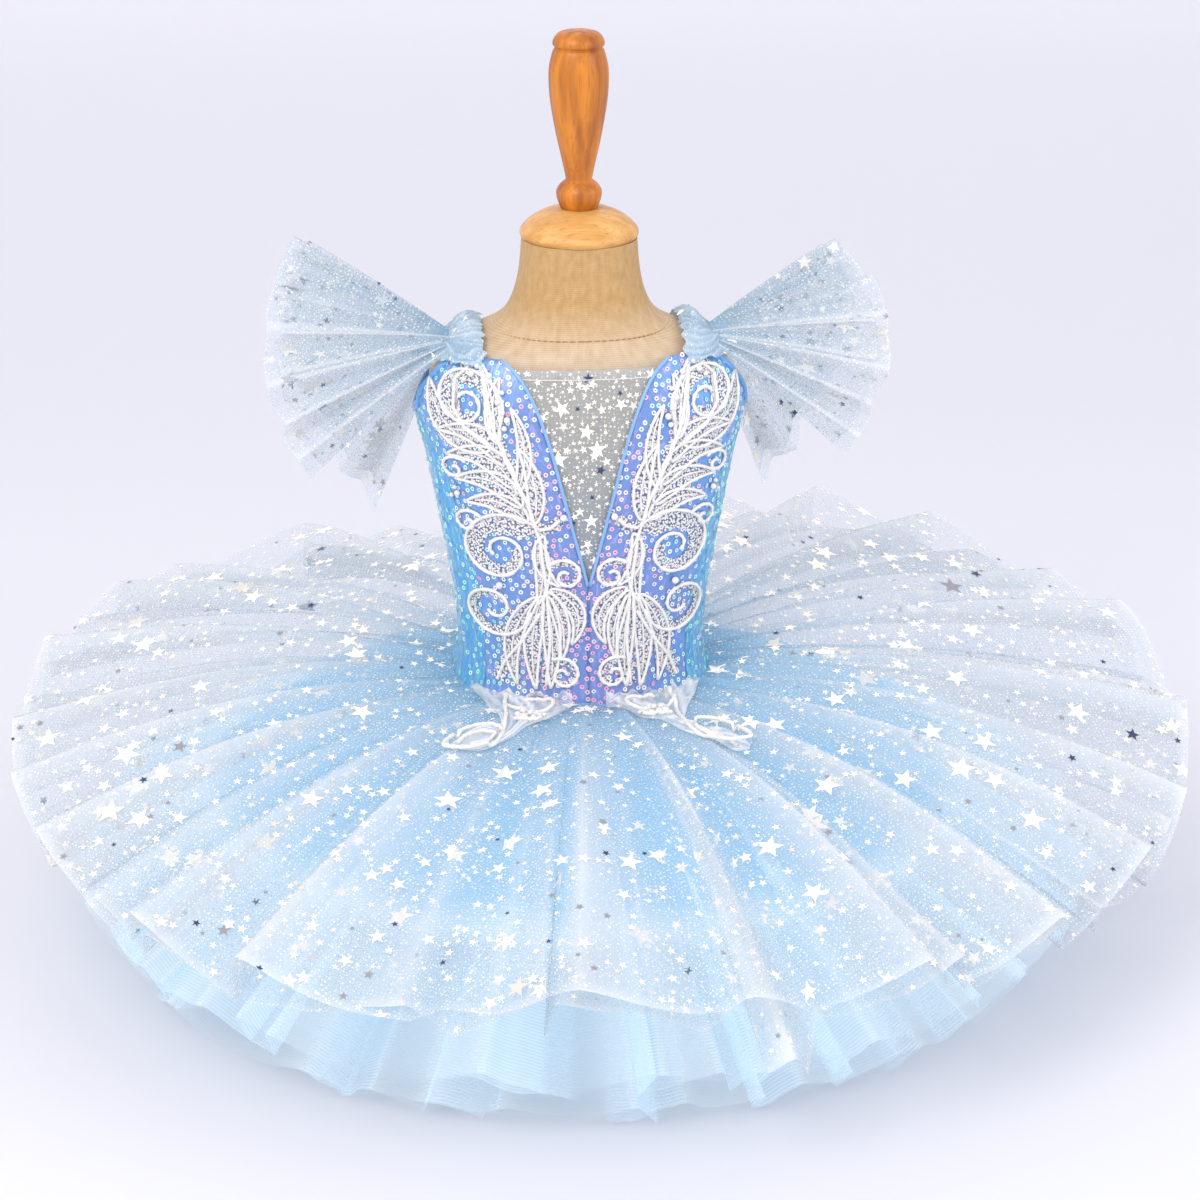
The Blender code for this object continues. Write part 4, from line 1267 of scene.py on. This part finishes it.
def make_sleeve(side, label, name, shift, reach, stars, seed):
    """A ply of the sleeve. Its cloth hides more by the strap, and its valleys and the face beyond each
    crest are painted a deeper colour, as painted shade. Each crest carries a painted highlight.
    """
    rows, steps, inner_radius = 24, 16, 30
    grid, height, beyond, out = sleeve_grid(side, steps, rows, shift, reach)
    edge_arc = edge_length(grid[-1])
    length = float(spacing(grid).sum(axis=0).mean())
    turn = edge_arc / (length + inner_radius)
    away = inner_radius + out * length
    cloth_map = np.stack([away * np.sin(turn), away * np.cos(turn)], 2)
    ones = np.ones_like(away * turn)
    # painted shade: deeper down the valleys of the pleats and on the face beyond each crest
    shade = 0.08 + 0.5 * (1 - height) + 0.35 * beyond
    # a painted highlight along each crest
    crest = 0.9 * np.clip((height - 0.82) / 0.14, 0, 1) ** 2
    marks = {
        "film": 1 - (1 - 0.28) ** (1 + 4 * np.exp(-out / 0.12) + 1.1 * out * (height**2 - 0.3)),
        "deep": np.maximum(0.7 * np.exp(-out / 0.3), shade * (1.1 - 0.5 * out)),
        "crease": np.maximum(crest, 0.35 * (out > 0.985) * ones),
    }
    turned = column_order(side < 0)
    grid = grid[:, turned]
    marks = {key: values[:, turned] for key, values in marks.items()}
    sheet = make_sheet(name, grid, cloth_map[:, turned], star_tulle, marks=marks)
    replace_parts(sheet, f"sleeve_{label}")
    foil = make_stars(f"{name}_stars", grid, stars, STAR_GAP, seed, SLEEVE_STARS, dark=0.12)
    flare, width = 0.6, float(edge_arc[-1])
    return width, length


print("a pleat rises through", fold_height(np.linspace(0, 0.6, 5), 0.6, 0.07).round(2))

# %% [markdown]
# The strap follows the line of its underside, from the front over the shoulder to the back. Its
# ridges run slantwise round it, and its edges curl in.


# %% Straps
def strap_ends(side, x):
    """Where the ends of the strap are sewn over the top of the front and of the back."""
    front_heights, back_heights, out = (433, 438), (432, 427), 1.0
    front = [body_point(BODICE, z, side * degrees_at(BODICE, z, x), out) for z in front_heights]
    back = [body_point(BODICE, z, side * (180 - degrees_at(BODICE, z, x)), out) for z in back_heights]
    return front, back


def make_strap(side, label):
    """The gathered tube, from its seam on the front to its seam on the back."""
    columns, steps, coarse_steps, strap_length = 30, 190, 24, 140
    across = np.linspace(0.1, 1.55, columns)
    coarse = []
    for a in across:
        front, back = strap_ends(side, mix(STRAP_INNER, STRAP_OUTER, a))
        over = [strap_point(side, a, s) for s in np.linspace(0, 1, coarse_steps)]
        coarse.append(front + over + back)
    coarse = np.array(coarse)
    along, spots = np.linspace(0, 1, steps), np.linspace(0, 1, coarse.shape[1])
    grid = [[np.interp(along, spots, line[:, k]) for k in range(3)] for line in coarse]
    grid = np.array(grid).transpose(2, 0, 1)
    width, length = np.linspace(0, 1, columns), along * strap_length
    slant = length[:, None] + 9 * np.sin(3.1 * width) + 4 * ripple(61 + side, length, 4, 15, 40)[:, None]
    ridge = np.clip(1 - np.abs(ripple(60 + side, slant, 3, 8, 16)) ** 0.7, 0, 1)
    crown = np.sin(math.pi * np.linspace(0.06, 0.94, columns))
    rough = 0.8 * ripple(64 + side, slant + 40 * width, 4, 5, 11)
    grid[:, :, 2] += 0.8 + 4.0 * ridge * crown + 3.0 * crown + rough * crown
    grid[:, :, 0] += side * 1.6 * ripple(66 + side, length, 4, 6, 20)[:, None] * (2 * width - 1)
    # deeper colour in the hollows between the ridges, partly crowded gathers and partly painted shade, and a
    # faint painted highlight on the ridge tops
    marks = {"film": 0.72 + 0.2 * ridge, "deep": 0.85 - 0.4 * ridge, "crease": 0.2 * ridge**4}
    turned = column_order(side < 0)
    grid = grid[:, turned]
    marks = {key: values[:, turned] for key, values in marks.items()}
    name, stars, slot = f"strap_gather_{label}", 12, "star_tulle"
    strap = make_sheet(name, grid, grid_lengths(grid), star_tulle, marks=marks)
    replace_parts(strap, f"strap_{label}")
    name = f"strap_stars_{label}"
    foil = make_stars(name, grid, stars, STAR_GAP, 68 + side, SLEEVE_STARS, dark=0.06)


for side, label in SIDES:
    make_strap(side, label)
    outer, inner = f"sleeve_outer_{label}", f"sleeve_inner_{label}"
    outer = make_sleeve(side, label, outer, shift=0, reach=1.0, stars=200, seed=70 + side)
    inner = make_sleeve(side, label, inner, shift=5, reach=0.93, stars=90, seed=80 + side)
    edges = [round(width) for width, _ in (outer, inner)]
    print(label, "sleeve: edge", edges, "mm, length", round(outer[1]), "mm")

# %% [markdown]
# ## Inset, piping and bindings
#
# The V of the neck is closed by a panel of grey glitter net, with a narrow hem along its straight top
# and foil stars on it. A thin satin piping follows the V. The armholes have a doubled satin binding.


# %% Inset
def make_inset():
    """The panel that fills the V. It reaches a little under the fronts, and lies behind their faces."""
    bottom, top, hem, under, behind, rows = 279, 437, 431, 3, -1.4, []
    for z in between(bottom, top, 64):
        half = degrees_at(BODICE, z, max(1.0, neck_half(z) + under))
        rows.append([(z, degrees) for degrees in between(-half, half, 40)])
    grid = body_grid(rows, behind)
    height = grid[..., 2]
    marks = {
        "film": np.where(height > hem, 0.9, 0.78),
        "deep": np.clip((395 - height) / 110, 0, 1),
        "crease": np.zeros(height.shape),
    }
    inset = make_sheet("inset_net", grid, grid_lengths(grid), grey_net, marks=marks)
    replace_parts(inset, "inset")
    count, gap, sizes = 150, 4.5, [Star(6.4, 0.04), Star(3.6, 0.2), Star(1.9, 0.76)]
    foil = make_stars("inset_stars", grid, count, gap, 90, sizes, lift=0.35, dark=0.03)
    seam = [body_point(BODICE, hem, degrees, -1.1) for degrees in between(-34, 34, 60)]
    thread = make_cords("inset_hem_thread", [(seam, 0.4)], white_cotton, sides=4)
    return inset


# cotton cord is soft and bright, with a faint bloom along its edges. It also glows faintly white: painted
# light that keeps it bright in shade
white_cotton, _, _ = start_material(
    "white_cotton_cord", Base_Color=srgb("#f8f6f4"), Roughness=0.6, Sheen_Weight=0.3,
    Emission_Color=srgb("#ffffff"), Emission_Strength=0.04,
)  # fmt: skip
grey_net = tulle("grey_glitter_net", srgb("#b6b8b5"), srgb("#a3afbe"), srgb("#eceff4"), dots=0.9)
print("inset", len(make_inset().data.polygons), "faces")


# %% Piping and bindings
def on_bodice(spots, out):
    """Points on the bodice at these heights and degrees."""
    return [body_point(BODICE, z, degrees, out) for z, degrees in spots]


def armhole_spots(side):
    """Height and degrees along the armhole's edge, from the shoulder at the front to the one at the back."""
    past_seam, back_end = 0.4, 124
    front = [(z, value_at(PRINCESS, "z", z, "degrees") + past_seam) for z in between(SHOULDER, UNDERARM, 14)]
    under, back = [], []
    for t in between(0, 1, 30):
        dip = UNDERARM_DIP * math.sin(math.pi * t)
        under.append((UNDERARM - dip, mix(front[-1][1], SIDE_BACK, t)))
    for t in between(0, 1, 12):
        back.append((mix(UNDERARM, STRAP_BACK_TOP, t), mix(SIDE_BACK, back_end, t)))
    return [(z, side * degrees) for z, degrees in front + under[1:] + back[1:]]


def make_bindings():
    """Piping along the V, two rolls of binding round each armhole, and stitches up the middle seam."""
    # a satin binding has a broad gleam along its roll
    finish = {"Roughness": 0.28, "Sheen_Weight": 0.35}
    satin, _, _ = start_material("pale_blue_satin", Base_Color=srgb("#8dbdf6"), **finish)
    bright, _, _ = start_material("azure_satin", Base_Color=srgb("#6db1f3"), **finish)
    for side, label in SIDES:
        heights, from_edge, out, radius = between(NECKLINE[0].z - 1, SHOULDER, 60), 0.9, 0.35, 1.25
        edge = [(z, side * degrees_at(BODICE, z, neck_half(z) + from_edge)) for z in heights]
        path = (on_bodice(edge, out), radius)
        piping = make_cords(f"neck_piping_{label}", [path], satin, sides=8)
        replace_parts(piping, f"piping_{label}")
        spots = armhole_spots(side)
        lower = [(z - 3.1, degrees) for z, degrees in spots]
        paths = [(on_bodice(spots, -0.3), 2.0), (on_bodice(lower, 0.3), 1.5)]
        make_cords(f"armhole_binding_{label}", paths, bright, sides=8)
    stitch, spacing, seam = 2.6, 3.4, []
    for z in np.arange(WAIST + 30, NECKLINE[0].z - 2, spacing):
        spots = [(z + share * stitch, 0) for share in (0, 0.5, 1)]
        seam.append((on_bodice(spots, 0.1), [0.15, 0.4, 0.15]))
    make_cords("centre_front_stitches", seam, bright, sides=4)
    return len(seam)


print("piping, bindings and", make_bindings(), "stitches up the centre front")


# %% [markdown]
# ## Sequins
#
# The sequins are small iridescent rings, pink by the centre front and aqua towards the sides. Real ones
# hang by a thread through the hole and never lie quite level, which is what makes them glint, so each is
# set on the cloth with a lean of its own.


# %% Sequins
SPOTS = 9  # round a sequin


def ring_sequin():
    """A ring 3.5 mm across with a hole, as spots round it: inner and outer."""
    turns = [2 * math.pi * k / SPOTS for k in range(SPOTS)]
    return [(r * math.cos(turn), r * math.sin(turn)) for r in (0.75, 1.75) for turn in turns]


def make_sequins(name, grid, count, gap, seed, tint):
    """tint: share of the aqua ones among the pink, for one side of the middle line and for the far side."""
    places, across, up, facing, random = scatter(grid, count, gap, seed)
    points, faces, tones = [], [], []
    unevenness, tone_spread = 0.12, 0.22
    for i, place in enumerate(places):
        lean = random.normal(0, unevenness, 2)
        out = facing[i] + lean[0] * across[i] + lean[1] * up[i]
        out /= np.linalg.norm(out)
        right = np.cross(up[i], out)
        ahead = np.cross(out, right)
        base = len(points)
        points += [(place + x * right + y * ahead + 0.5 * out) * MM for x, y in ring_sequin()]
        for k in range(SPOTS):
            after = (k + 1) % SPOTS
            faces.append((base + k, base + SPOTS + k, base + SPOTS + after, base + after))
        aside = np.interp(abs(place[0]), (10, 100), tint)
        tones += [float(np.clip(aside + random.normal(0, tone_spread), 0, 1))] * (2 * SPOTS)
    return add_flakes(name, points, faces, tones, sequin_material)


# coated plastic film shifts from pink to aqua, with a sharp glint on top. The white between pink and
# aqua on the ramp is a painted highlight, and each sequin glows a little with its colour, as painted light
sequin_material, sequin_tree, sequin_shader = start_material(
    "iridescent_ring_sequin", Roughness=0.22, Metallic=0.2, Coat_Weight=0.6, Emission_Strength=0.18
)
sequin_ramp = add_node(sequin_tree, "ShaderNodeValToRGB", {"Fac": carried(sequin_tree, "tone")})
sequin_ramp.color_ramp.elements[0].color = srgb("#ffb9d9")
sequin_ramp.color_ramp.elements[1].color = srgb("#aefaea")
sequin_ramp.color_ramp.elements.new(0.42).color = srgb("#ffffff")
sequin_colour = sequin_ramp.outputs["Color"]
plug(sequin_shader, Base_Color=sequin_colour, Emission_Color=sequin_colour)
SEQUIN_GAP = 4.4
for side, label in SIDES:
    front, flank = panels[f"front_{label}"], panels[f"side_{label}"]
    make_sequins(f"sequins_front_{label}", front, 720, SEQUIN_GAP, 100 + side, (0.05, 0.9))
    make_sequins(f"sequins_side_{label}", flank, 420, SEQUIN_GAP, 104 + side, (0.8, 1.0))
back_sequins = make_sequins("sequins_back", panels["back"], 1100, SEQUIN_GAP, 107, (0.6, 1.0))
print(len(back_sequins.data.polygons) // SPOTS, "sequins on the back")

# %% [markdown]
# ## Lace
#
# On each front lies a motif of corded lace: net that is filled with white specks, cut out round
# feathers and scrolls, whose edges carry a white cord. The design is drawn flat, in millimetres from
# the middle line and above the base, and laid on the bodice. Pearls sit at the ends of scrolls and
# in a cluster under the shoulder.

# %% Tables of the lace
# bend and width: how far the feather bows out, as a share of its length, and half its width. fill: how
# far in from the cord the net of a curl reaches, as a share of the way to the centre.
Feather = namedtuple("Feather", "root tip bend width")
Curl = namedtuple("Curl", "start centre turns fill")
FEATHERS = [
    # the fan that hangs down to the waist
    Feather((27, 281), (12, 238), -0.26, 5.5), Feather((29, 279), (19, 226), -0.10, 5.0),
    Feather((30, 277), (27, 204), -0.04, 6.0), Feather((33, 276), (37, 203), 0.06, 6.0),
    Feather((35, 275), (50, 205), 0.14, 6.0),
    # plumes from the stem out to the side
    Feather((31, 322), (20, 283), 0.20, 4.5), Feather((36, 318), (36, 268), -0.08, 5.0),
    Feather((42, 331), (84, 341), 0.20, 6.5), Feather((46, 342), (91, 357), 0.22, 7.5),
    Feather((52, 356), (97, 374), 0.26, 8.0), Feather((58, 372), (103, 391), 0.24, 7.0),
    # the crown under the shoulder
    Feather((66, 384), (107, 424), -0.22, 8.5), Feather((62, 388), (60, 432), -0.10, 5.0),
    Feather((64, 390), (72, 440), 0.05, 4.5), Feather((38, 330), (48, 385), 0.10, 5.5),
    Feather((50, 352), (53, 413), 0.12, 4.5),
]
CURLS = [
    Curl((34, 326), (61, 307), -1.5, 0.50), Curl((27, 300), (16, 291), 1.25, 0.35),
    Curl((40, 262), (66, 262), 1.4, 0.30), Curl((26, 226), (18, 214), 1.3, 0.40),
    Curl((61, 398), (84, 414), -1.5, 0.45), Curl((84, 371), (92, 364), -1.2, 0.0),
    Curl((74, 331), (83, 325), -1.2, 0.0),
]
NET_MARGIN = 1.35  # how much wider than its cords the net of a feather is
EDGE_CORD, VEIN_CORD, STEM_CORD = 1.15, 0.7, 1.35  # radii
STEMS = [
    [(30, 206), (27, 240), (29, 276), (34, 318), (42, 345), (55, 372), (66, 400), (71, 436)],
    [(64, 206), (58, 222), (46, 240), (34, 262)],
    [(34, 326), (26, 328), (20, 334)],
    [(66, 384), (84, 396), (92, 410), (90, 428), (80, 437)],
]
PEARLS = [  # each has its place and its radius
    (17.5, 336, 2.6), (61, 281, 2.6), (57, 399, 2.0), (55, 405, 2.4), (58, 410, 1.9),
    (61, 417, 2.3), (58, 423, 1.8), (66, 433, 2.3), (78, 433, 2.4), (83, 429, 1.9),
    (74, 438, 1.9), (89, 346, 2.2), (93, 343, 1.7), (91, 350, 1.6),
]  # fmt: skip
print("lace:", len(FEATHERS), "feathers,", len(CURLS), "curls,", len(STEMS), "stems,", len(PEARLS), "pearls")


# %% Lines of the lace
def bezier(a, b, c, steps):
    """A curve from a to c that bends towards b."""
    t = np.linspace(0, 1, steps)[:, None]
    a, b, c = (np.array(p, float) for p in (a, b, c))
    return (1 - t) ** 2 * a + 2 * t * (1 - t) * b + t**2 * c


def beside(line):
    """At each point of a flat line, the direction square to it."""
    ahead = np.gradient(line, axis=0)
    ahead /= np.linalg.norm(ahead, axis=1, keepdims=True)
    return np.stack([-ahead[:, 1], ahead[:, 0]], 1)


def feather_lines(feather):
    """The spine of a feather, which bends to one side, and its two edges."""
    root, tip = np.array(feather.root, float), np.array(feather.tip, float)
    along = tip - root
    left = np.array([-along[1], along[0]])
    spine = bezier(root, (root + tip) / 2 + 2 * feather.bend * left, tip, 22)
    t = np.linspace(0, 1, 22)
    half = feather.width * np.sin(math.pi * t**0.75) ** 0.8
    side = beside(spine) * half[:, None]
    return spine, spine + side, spine - side


def curl_line(curl, shrink=0.16):
    """A spiral from the curl's start in towards its centre."""
    start, centre = np.array(curl.start, float), np.array(curl.centre, float)
    arm = start - centre
    turns = np.linspace(0, 1, 46)
    radius = np.linalg.norm(arm) * (1 - (1 - shrink) * turns**0.8)
    angle = math.atan2(arm[1], arm[0]) + 2 * math.pi * curl.turns * turns
    return centre + np.stack([radius * np.cos(angle), radius * np.sin(angle)], 1)


def inside(shape, x, z):
    """Which places lie inside a closed outline, by counting the edges that a level line crosses."""
    within = np.zeros(x.shape, bool)
    for (x0, z0), (x1, z1) in zip(shape, np.roll(shape, -1, axis=0)):
        crosses = (z0 > z) != (z1 > z)
        within ^= crosses & (x < (x1 - x0) * (z - z0) / (z1 - z0 + 1e-12) + x0)
    return within


def lace_shapes():
    """The outlines that are filled with net, and the cords with their radii, flat in millimetres."""
    fills, cords, stem_half = [], [], 4
    for feather in FEATHERS:
        spine, left, right = feather_lines(feather)
        there, back = (spine + (edge - spine) * NET_MARGIN for edge in (left, right))
        fills.append(np.concatenate([there, back[::-1]]))
        cords += [(left, EDGE_CORD), (right, EDGE_CORD), (spine[2:-3], VEIN_CORD)]
    for curl in CURLS:
        line = curl_line(curl)
        cords.append((line, STEM_CORD))
        if curl.fill:
            outer = line[: int(len(line) / abs(curl.turns))]
            inner = curl.centre + (outer - curl.centre) * (1 - curl.fill)
            fills.append(np.concatenate([outer, inner[::-1]]))
    for stem in STEMS:
        keys, steps = np.arange(len(stem)), np.linspace(0, len(stem) - 1, 12 * len(stem))
        line = np.stack([np.interp(steps, keys, c) for c in zip(*stem)], 1)
        cords.append((line, STEM_CORD))
        side = stem_half * beside(line)
        fills.append(np.concatenate([line + side, (line - side)[::-1]]))
    return fills, cords


lace_fills, lace_lines = lace_shapes()
print(len(lace_fills), "patches of net and", len(lace_lines), "cords on each side")


# %% Lace on the fronts
def speckled_net():
    """White specks that nearly fill the net, as embroidery does. They are drawn 1.9 mm apart, coarser than
    real stitches, so that they show."""
    material, tree, shader = start_material("speckled_lace_net", Roughness=0.65)
    pitch = 1.9 * MM
    specks = {"Vector": place_on_cloth(tree), "Scale": 1 / pitch, "Randomness": 0.9}
    specks = add_node(tree, "ShaderNodeTexVoronoi", specks, voronoi_dimensions="2D").outputs["Distance"]
    edge = (0.4, 0.5)
    # between the specks the net is grey violet: partly the net's own colour, partly painted shade among the
    # specks
    thread = blend(tree, fit(tree, specks, *edge), srgb("#f7f5f4"), srgb("#8384a0"))
    plug(shader, Base_Color=thread, Alpha=fit(tree, specks, *edge, 0.97, 0.5))
    return material


def rough_radii(radius, seed, count):
    """A cord's radius at each of its points: a twisted cord is thick and thin by turns."""
    return radius * (1 + 0.3 * ripple(seed, np.arange(count) * 1.0, 5, 1.6, 5))


def on_front(side, x, z, out):
    """A point on the bodice, this far from its middle line and above the base."""
    return body_point(BODICE, z, side * degrees_at(BODICE, z, x), out)


def make_pearls(name, places, radii):
    """Round beads, joined to one piece."""
    bpy.ops.object.select_all(action="DESELECT")
    pearls = []
    for place, radius in zip(places, radii):
        size = {"radius": radius * MM, "location": place * MM}
        bpy.ops.mesh.primitive_uv_sphere_add(segments=12, ring_count=8, **size)
        pearls.append(bpy.context.active_object)
    for pearl in pearls:
        pearl.select_set(True)
    bpy.ops.object.join()
    joined = bpy.context.active_object
    bpy.ops.object.transform_apply(location=True, rotation=True, scale=True)
    joined.name = name
    joined.data.shade_smooth()
    return dress(joined, pearl_material)


def make_lace(side, label, fills, lines):
    """Net that is kept only inside the outlines, cords of uneven thickness along its edges, and pearls."""
    step, low, high, inner, outer = 1.2, 200, 441, 2, 112
    cord_rise, pearl_rise = 0.4, 0.8  # shares of their radius by which their middles stand off the net
    heights, spots = np.arange(low, high, step), np.arange(inner, outer, step)
    middle_z, middle_x = np.meshgrid(heights[:-1] + step / 2, spots[:-1] + step / 2, indexing="ij")
    keep = np.any([inside(fill, middle_x, middle_z) for fill in fills], axis=0)
    grid = np.array([[on_front(side, x, z, LAP) for x in spots] for z in heights])
    order = column_order(side < 0)
    grid, keep = grid[:, order], keep[:, order]
    net = make_sheet(f"lace_net_{label}", grid, grid_lengths(grid), net_material, keep=keep)
    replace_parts(net, f"lace_{label}")
    paths = []
    for n, (line, radius) in enumerate(lines):
        spots = [on_front(side, x, z, LAP + cord_rise * radius) for x, z in line]
        paths.append((spots, rough_radii(radius, 200 + n, len(line))))
    cords = make_cords(f"lace_cords_{label}", paths, white_cotton)
    places = [on_front(side, x, z, LAP + radius * pearl_rise) for x, z, radius in PEARLS]
    pearls = make_pearls(f"pearls_{label}", places, [radius for _, _, radius in PEARLS])
    round_the_body = 1.12  # the net goes round the front, so it is this much wider than its outline
    area = float(keep.sum()) * step * step * round_the_body * MM * MM
    return area


net_material = speckled_net()
# a plastic pearl has a clear smooth coat over a milky body
pearl_material, _, _ = start_material(
    "white_pearl", Base_Color=srgb("#fbf7f4"), Roughness=0.25, Coat_Weight=0.5, Subsurface_Weight=0.1
)
for side, label in SIDES:
    print(label, "lace net", round(make_lace(side, label, lace_fills, lace_lines) * 1e4), "square cm")

# %% [markdown]
# Below the waist the lace runs on over the skirt, as a tail of white net with a looping cord that ends
# in a small leaf. It lies on the crests of the folds: rays from above find the skirt's cloth, and the
# net bridges the valleys between them.

# %% Tables of the lace tails
# The tail as seen from above, in millimetres aside from the middle line and forward: pairs of places on
# its inner and outer edge, from the waist to the tip, the routes of its cords, and its pearls.
TAIL_EDGES = [
    ((12, 84), (84, 47)), ((14, 96), (76, 82)), ((30, 112), (68, 106)), ((46, 125), (65, 120)),
    ((58, 142), (68, 129)), ((72, 158), (82, 132)), ((88, 167), (96, 142)), ((105, 165), (107, 161)),
]  # fmt: skip
TAIL_CORDS = [
    [(59, 70), (61, 90), (61, 112), (64, 135)],
    [(64, 135), (72, 130), (84, 132), (96, 142), (107, 162), (97, 168), (86, 167), (72, 157), (64, 137)],
    [(70, 141), (80, 142), (91, 150), (97, 160)], [(70, 141), (76, 152), (88, 160)],
    [(47, 84), (37, 82), (27, 86), (28, 96), (38, 105), (50, 103), (60, 92), (59, 72)],
    [(33, 112), (41, 108), (50, 112), (56, 118)], [(36, 113), (44, 116), (55, 116)],
]  # fmt: skip
TAIL_PEARLS = [(44, 109), (39, 107), (49, 108), (42, 114), (48, 114), (53, 112)]
WAIST_LEVEL = 195  # the height that stands in where no cloth lies below a place
print("a tail runs", TAIL_EDGES[-1][0][1] - TAIL_EDGES[0][1][1], "mm forward from the waist")


# %% Lace tails
def drop_on(tree, x, y, otherwise):
    """Height of the cloth straight below this place."""
    found = tree.ray_cast(Vector((x, y, 400)), Vector((0, 0, -1)))[0]
    return found.z if found else otherwise


def tail_grid(side, columns=24):
    """The net's points: a torn foot on the bodice, then rows that lie over the crests of the folds."""
    torn_height, lift = 200, 1.4
    tree = grid_tree(layers["star_tulle_upper"][1])
    inner, outer = (curve_through([row[k] for row in TAIL_EDGES], 6) for k in (0, 1))
    rows = len(inner)
    plan = mix(inner[:, None], outer[:, None], np.linspace(0, 1, columns)[None, :, None]) * (side, -1)
    low = np.array([[drop_on(tree, x, y, WAIST_LEVEL) for x, y in row] for row in plan])
    height = low
    for widen in (True, False, False):
        near = np.pad(height, 1, mode="edge")
        around = [near[i : i + rows, j : j + columns] for i in range(3) for j in range(3)]
        height = np.max(around, axis=0) if widen else np.mean(around, axis=0)
    across = np.arange(columns) * 3.0
    ruffle = 1.8 * ripple(240 + side, across + np.arange(rows)[:, None], 4, 9, 26)
    height = np.maximum(height, low + 0.3) + lift + ruffle * np.linspace(1, 0, rows)[:, None]
    grid = np.concatenate([plan, height[..., None]], axis=2)
    torn = torn_height + 3 * ripple(250 + side, across, 4, 7, 20) - 6 * np.linspace(0, 1, columns) ** 2
    foot = []
    for edge in (torn, torn - 4):
        spots = [(z, degrees_at(BODICE, z, x)) for (x, _), z in zip(plan[0], edge)]
        foot.append([body_point(BODICE, z, degrees, LAP + 0.6) for z, degrees in spots])
    return np.concatenate([foot, grid])


def make_tail(side, label):
    """The net, its cords laid over it, and a cluster of pearls."""
    grid = tail_grid(side)
    order = column_order(side > 0)
    steps = [np.arange(count) * 2.6 for count in grid.shape[:2]]
    fold = np.abs(ripple(260 + side, steps[1] + 0.4 * steps[0][:, None], 4, 8, 30))
    marks = {"film": 0.26 + 0.36 * fold, "deep": 0 * fold, "crease": 0.35 * np.clip(fold, 0, 1) ** 2}
    lengths = grid_lengths(grid[:, order])
    tail = make_sheet(f"lace_tail_net_{label}", grid[:, order], lengths, white_net, marks=marks)
    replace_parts(tail, f"lace_tail_{label}")
    tree, paths = grid_tree(grid), []
    for n, cord in enumerate(TAIL_CORDS):
        line = curve_through(cord, 8) * (side, -1)
        heights = [drop_on(tree, x, y, 0) for x, y in line]
        highest = max(heights)
        spots = [(x, y, (z or highest) + 0.9) for (x, y), z in zip(line, heights)]
        paths.append((spots, rough_radii(1.5, 230 + n, len(line))))
    cords = make_cords(f"lace_tail_cords_{label}", paths, white_cotton)
    spots, radius, lift = [(side * x, -y) for x, y in TAIL_PEARLS], 2.4, 1.5
    spots = [Vector((x, y, drop_on(tree, x, y, WAIST_LEVEL) + lift)) for x, y in spots]
    pearls = make_pearls(f"lace_tail_pearls_{label}", spots, [radius] * len(spots))
    patches = np.cross(grid[:-1, 1:] - grid[:-1, :-1], grid[1:, :-1] - grid[:-1, :-1])
    area = float(np.linalg.norm(patches, axis=2).sum()) * MM * MM
    return area


pale = srgb("#f4f8ff")
white_net = tulle("soft_white_net", pale, pale, srgb("#ffffff"), painted_glow=0.15)
for side, label in SIDES:
    print(label, "tail", round(make_tail(side, label) * 1e4), "square cm")
